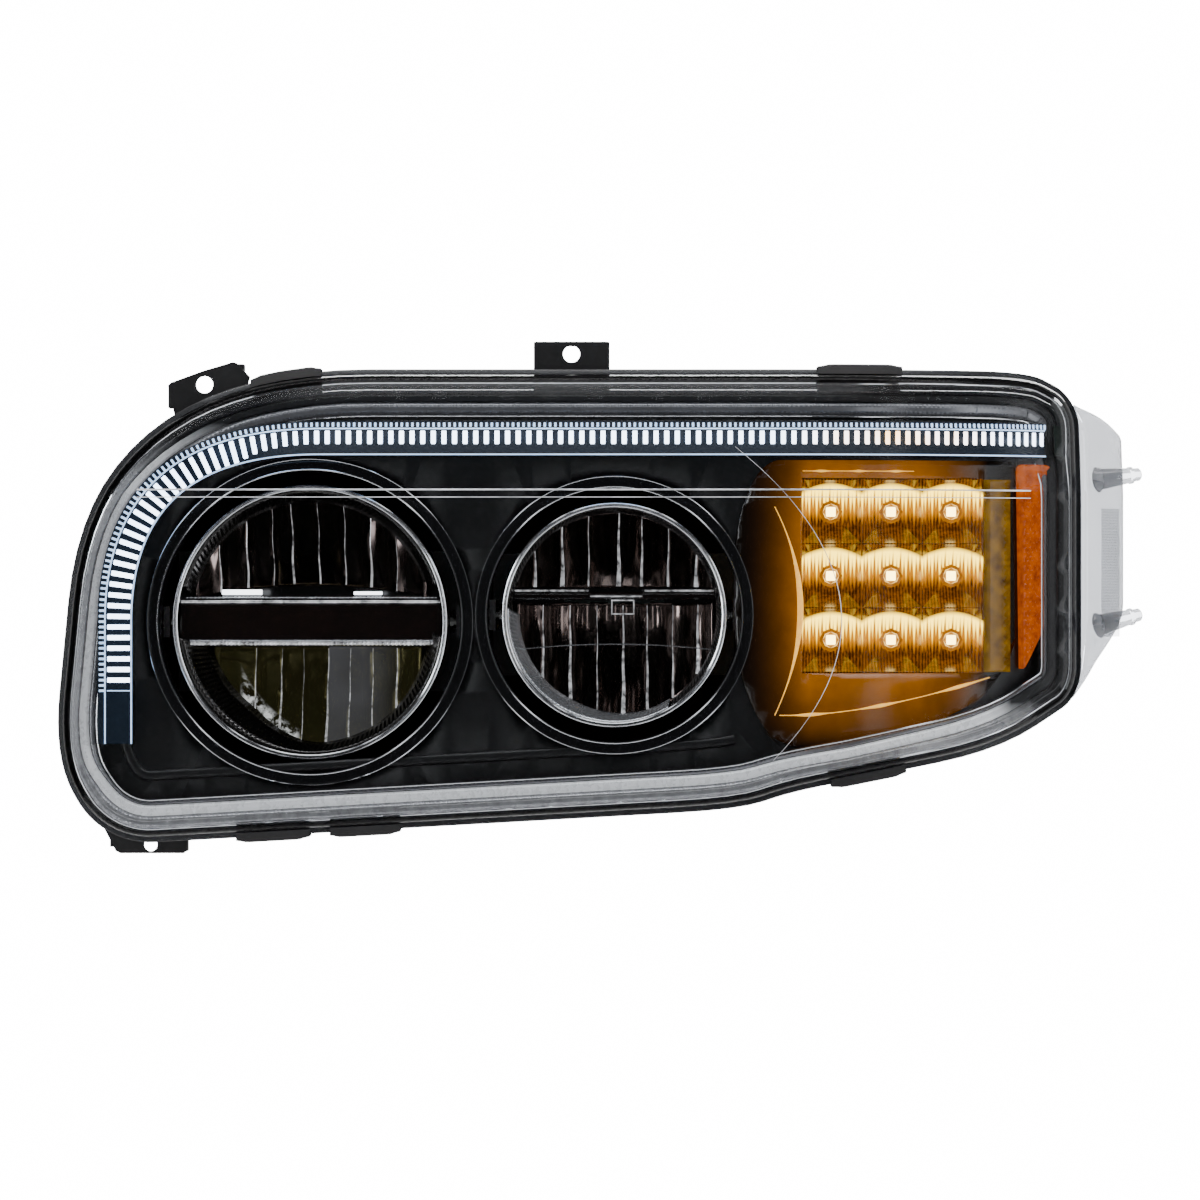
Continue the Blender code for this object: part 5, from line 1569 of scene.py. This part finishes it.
# %% Tub ribs, screws and driver screws
mesh = bmesh.new()
flat_back = moved_out(outer_back, -7.0)
clear_of = [(lamp["centre"], lamp["cap"] + 4) for lamp in LAMPS.values()]
clear_of += [(lamp["stud"], 13.0) for lamp in LAMPS.values()] + [(vent, 12.0) for vent in VENTS.values()]
clear_of += [((112.0, -2.0), 44.0), ((194.0, 6.0), 44.0)]
for x in range(-210, 231, 55):
    start = None
    for z in range(-108, 109, 3):
        free = inside(Vector((x, z)), flat_back)
        free = free and all(math.hypot(x - c[0], z - c[1]) > reach for c, reach in clear_of)
        if free and start is None:
            start = z
        if start is not None and (not free or z == 108):
            if z - start > 12:
                bevelled_box(mesh, (x - 1.2, BACK - 0.2, start), (x + 1.2, BACK + 4.0, z), 0.5, 2)
            start = None
for z in (-104.0, 106.0):
    span = [x for x in range(-260, 261, 2) if inside(Vector((x, z)), flat_back)]
    bevelled_box(mesh, (span[0], BACK - 0.2, z - 1.2), (span[-1], BACK + 4.0, z + 1.2), 0.5, 2)
fix_piece(mesh, "tub_ribs", satin_black, "satin_black")

SCREW = (
    (0, 0.2), (4.4, 0.2), (4.4, 1.2), (3.6, 1.4), (3.6, 3.0), (3.0, 3.7), (1.6, 3.7), (1.6, 2.0), (0, 2.0),
)
driver_low, driver_high = box_mm("led_driver")
mesh = bmesh.new()
for x in (driver_low.x - 4.0, driver_high.x + 4.0):
    for z in (driver_low.z + 6.0, driver_high.z - 6.0):
        turned(mesh, (x, z), BACK, SCREW, steps=24)
fix_piece(mesh, "driver_screws", steel, "steel")

# %% Sockets and their contacts
for name, columns, rows_of_pins in (("main_connector", 4, 2), ("signal_connector", 3, 1)):
    low, high = box_mm(name)
    centre_x, centre_z = (low.x + high.x) / 2, (low.z + high.z) / 2
    mesh = bmesh.new()
    for column in range(columns):
        for row_number in range(rows_of_pins):
            x = centre_x + (column - (columns - 1) / 2) * 6.4
            z = centre_z + (row_number - (rows_of_pins - 1) / 2) * 7.0
            bevelled_box(mesh, (x - 1.1, BACK + 2.0, z - 0.4), (x + 1.1, BACK + 9.0, z + 0.4), 0.25, 1)
    fix_piece(mesh, f"{name}_contacts", brass, "steel")
    mesh = bmesh.new()
    corners = (centre_x - 4, BACK + 4.5, high.z - 4.4), (centre_x + 4, BACK + 9.5, high.z - 2.2)
    bevelled_box(mesh, *corners, 0.5, 2)
    fix_piece(mesh, f"{name}_latch", satin_black, "gloss_black")

# %% [markdown]
# ## Finishes for the pieces that keep their frame shape
# Brackets, boards, sinks and seals are already the right shape, so they only get their finish.

# %% Finish the kept nodes
KEPT = {
    "lens_seal": rubber, "signal_tray": satin_black, "signal_led_board": mask,
    "running_light_board": mask, "running_light_backing": satin_black, "led_driver": cast_metal,
    "main_connector": gloss_black, "signal_connector": gloss_black,
}
for name, lamp in LAMPS.items():
    KEPT[f"{name}_carrier"] = gloss_black
    KEPT[f"{name}_heat_sink"] = cast_metal
    KEPT[f"{name}_yoke"] = cast_metal
    KEPT[f"{name}_aim_socket"] = white_moulding
    KEPT[f"{name}_adjuster_bush"] = white_moulding
    KEPT[f"{name}_aim_stud"] = steel
    KEPT[f"{name}_cap_seal"] = rubber
    for side in ("inboard", "outboard"):
        KEPT[f"{name}_pivot_pin_{side}"] = steel
    for side in lamp["boards"]:
        KEPT[f"{name}_led_board_{side}"] = mask
for node, material in KEPT.items():
    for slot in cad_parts[node].material_slots:
        slot.material = material
print("kept nodes:", len(KEPT))

# %% [markdown]
# ## Floor, light and camera
# The lamp hangs in front of a white studio. A dark field in front keeps the mirrors and the lens clear,
# bright fields above and to the sides draw the highlights along the chrome, and four soft lights
# shape the black mouldings. The camera looks straight on with a long lens.

# %% Studio
floor_finish = grained("pale floor", (0.80, 0.80, 0.80), (0.86, 0.86, 0.86), 0.6, 0.1, 60.0, 0.05)
mesh = bmesh.new()
under = Matrix.Translation((0, 0, -0.5))
bmesh.ops.create_circle(mesh, cap_ends=True, segments=96, radius=1.0, matrix=under)
floor_mesh = bpy.data.meshes.new("floor")
mesh.to_mesh(floor_mesh)
mesh.free()
floor_mesh.materials.append(floor_finish)
floor = add_object("floor", floor_mesh)

world = bpy.data.worlds.new("studio")
world.use_nodes = True
bpy.context.scene.world = world
tree = world.node_tree
background = tree.nodes["Background"]
coordinates = tree.nodes.new("ShaderNodeTexCoord")
parts = tree.nodes.new("ShaderNodeSeparateXYZ")
tree.links.new(coordinates.outputs["Generated"], parts.inputs[0])
dir_x, dir_y, dir_z = (Socket(tree, out) for out in parts.outputs)


def band(value, middle, half, soft=0.04):
    """1 within half of the middle and 0 outside, with a soft edge."""
    return (((value - middle).maths("ABSOLUTE") * -1.0 + half) / soft + 0.5).clamp()


ahead = (dir_y * -4.0 + 0.6).clamp()
sky = band(dir_z, 0.90, 0.03) * 2.4
low_strip = band(dir_z, -0.62, 0.05) * ahead * 0.5
sides = band(dir_x.maths("ABSOLUTE"), 0.86, 0.06) * ahead * 2.2
strips = band(dir_x.maths("ABSOLUTE"), 0.46, 0.05) * ahead * 1.6
rear = band(dir_y, 0.8, 0.12) * 0.4
ring = band(dir_y, -0.06, 0.07) * (dir_x * 0.5 + 0.9)
ambient = sky + low_strip + sides + strips + rear + ring + 0.06
ray = tree.nodes.new("ShaderNodeLightPath")
seen = Socket(tree, ray.outputs["Is Camera Ray"])
tree.links.new((ambient * (1.0 - seen) + seen * 16.0).output, background.inputs["Strength"])
background.inputs["Color"].default_value = (1.0, 1.0, 1.0, 1.0)

for name, place, aim, size, power in (
    ("top light", (0.0, -0.45, 1.9), (0, 0, 0), (1.8, 0.7), 20.0),
    ("left light", (-1.9, -1.1, 0.3), (0, 0, 0), (0.5, 1.4), 13.0),
    ("right light", (2.0, -0.9, 0.4), (0.2, 0, 0), (0.6, 1.4), 13.0),
    ("back light", (0.4, 2.2, 1.2), (0, 0, 0), (1.6, 1.2), 40.0),
):
    light = bpy.data.lights.new(name, "AREA")
    light.shape = "RECTANGLE"
    light.size, light.size_y = size
    light.energy = power
    lamp_object = add_object(name, light)
    lamp_object.location = place
    lamp_object.visible_glossy = name != "right light"
    lamp_object.rotation_euler = (Vector(aim) - Vector(place)).to_track_quat("-Z", "Y").to_euler()

# %% Camera
camera_data = bpy.data.cameras.new("camera")
camera_data.lens = 200.0
camera_data.sensor_width = 36.0
camera_data.clip_end = 20.0
camera = add_object("camera", camera_data)
camera.location = (-0.0022, -4.37, -0.0019)
camera.rotation_euler = (math.pi / 2, 0.0, 0.0)
bpy.context.scene.camera = camera
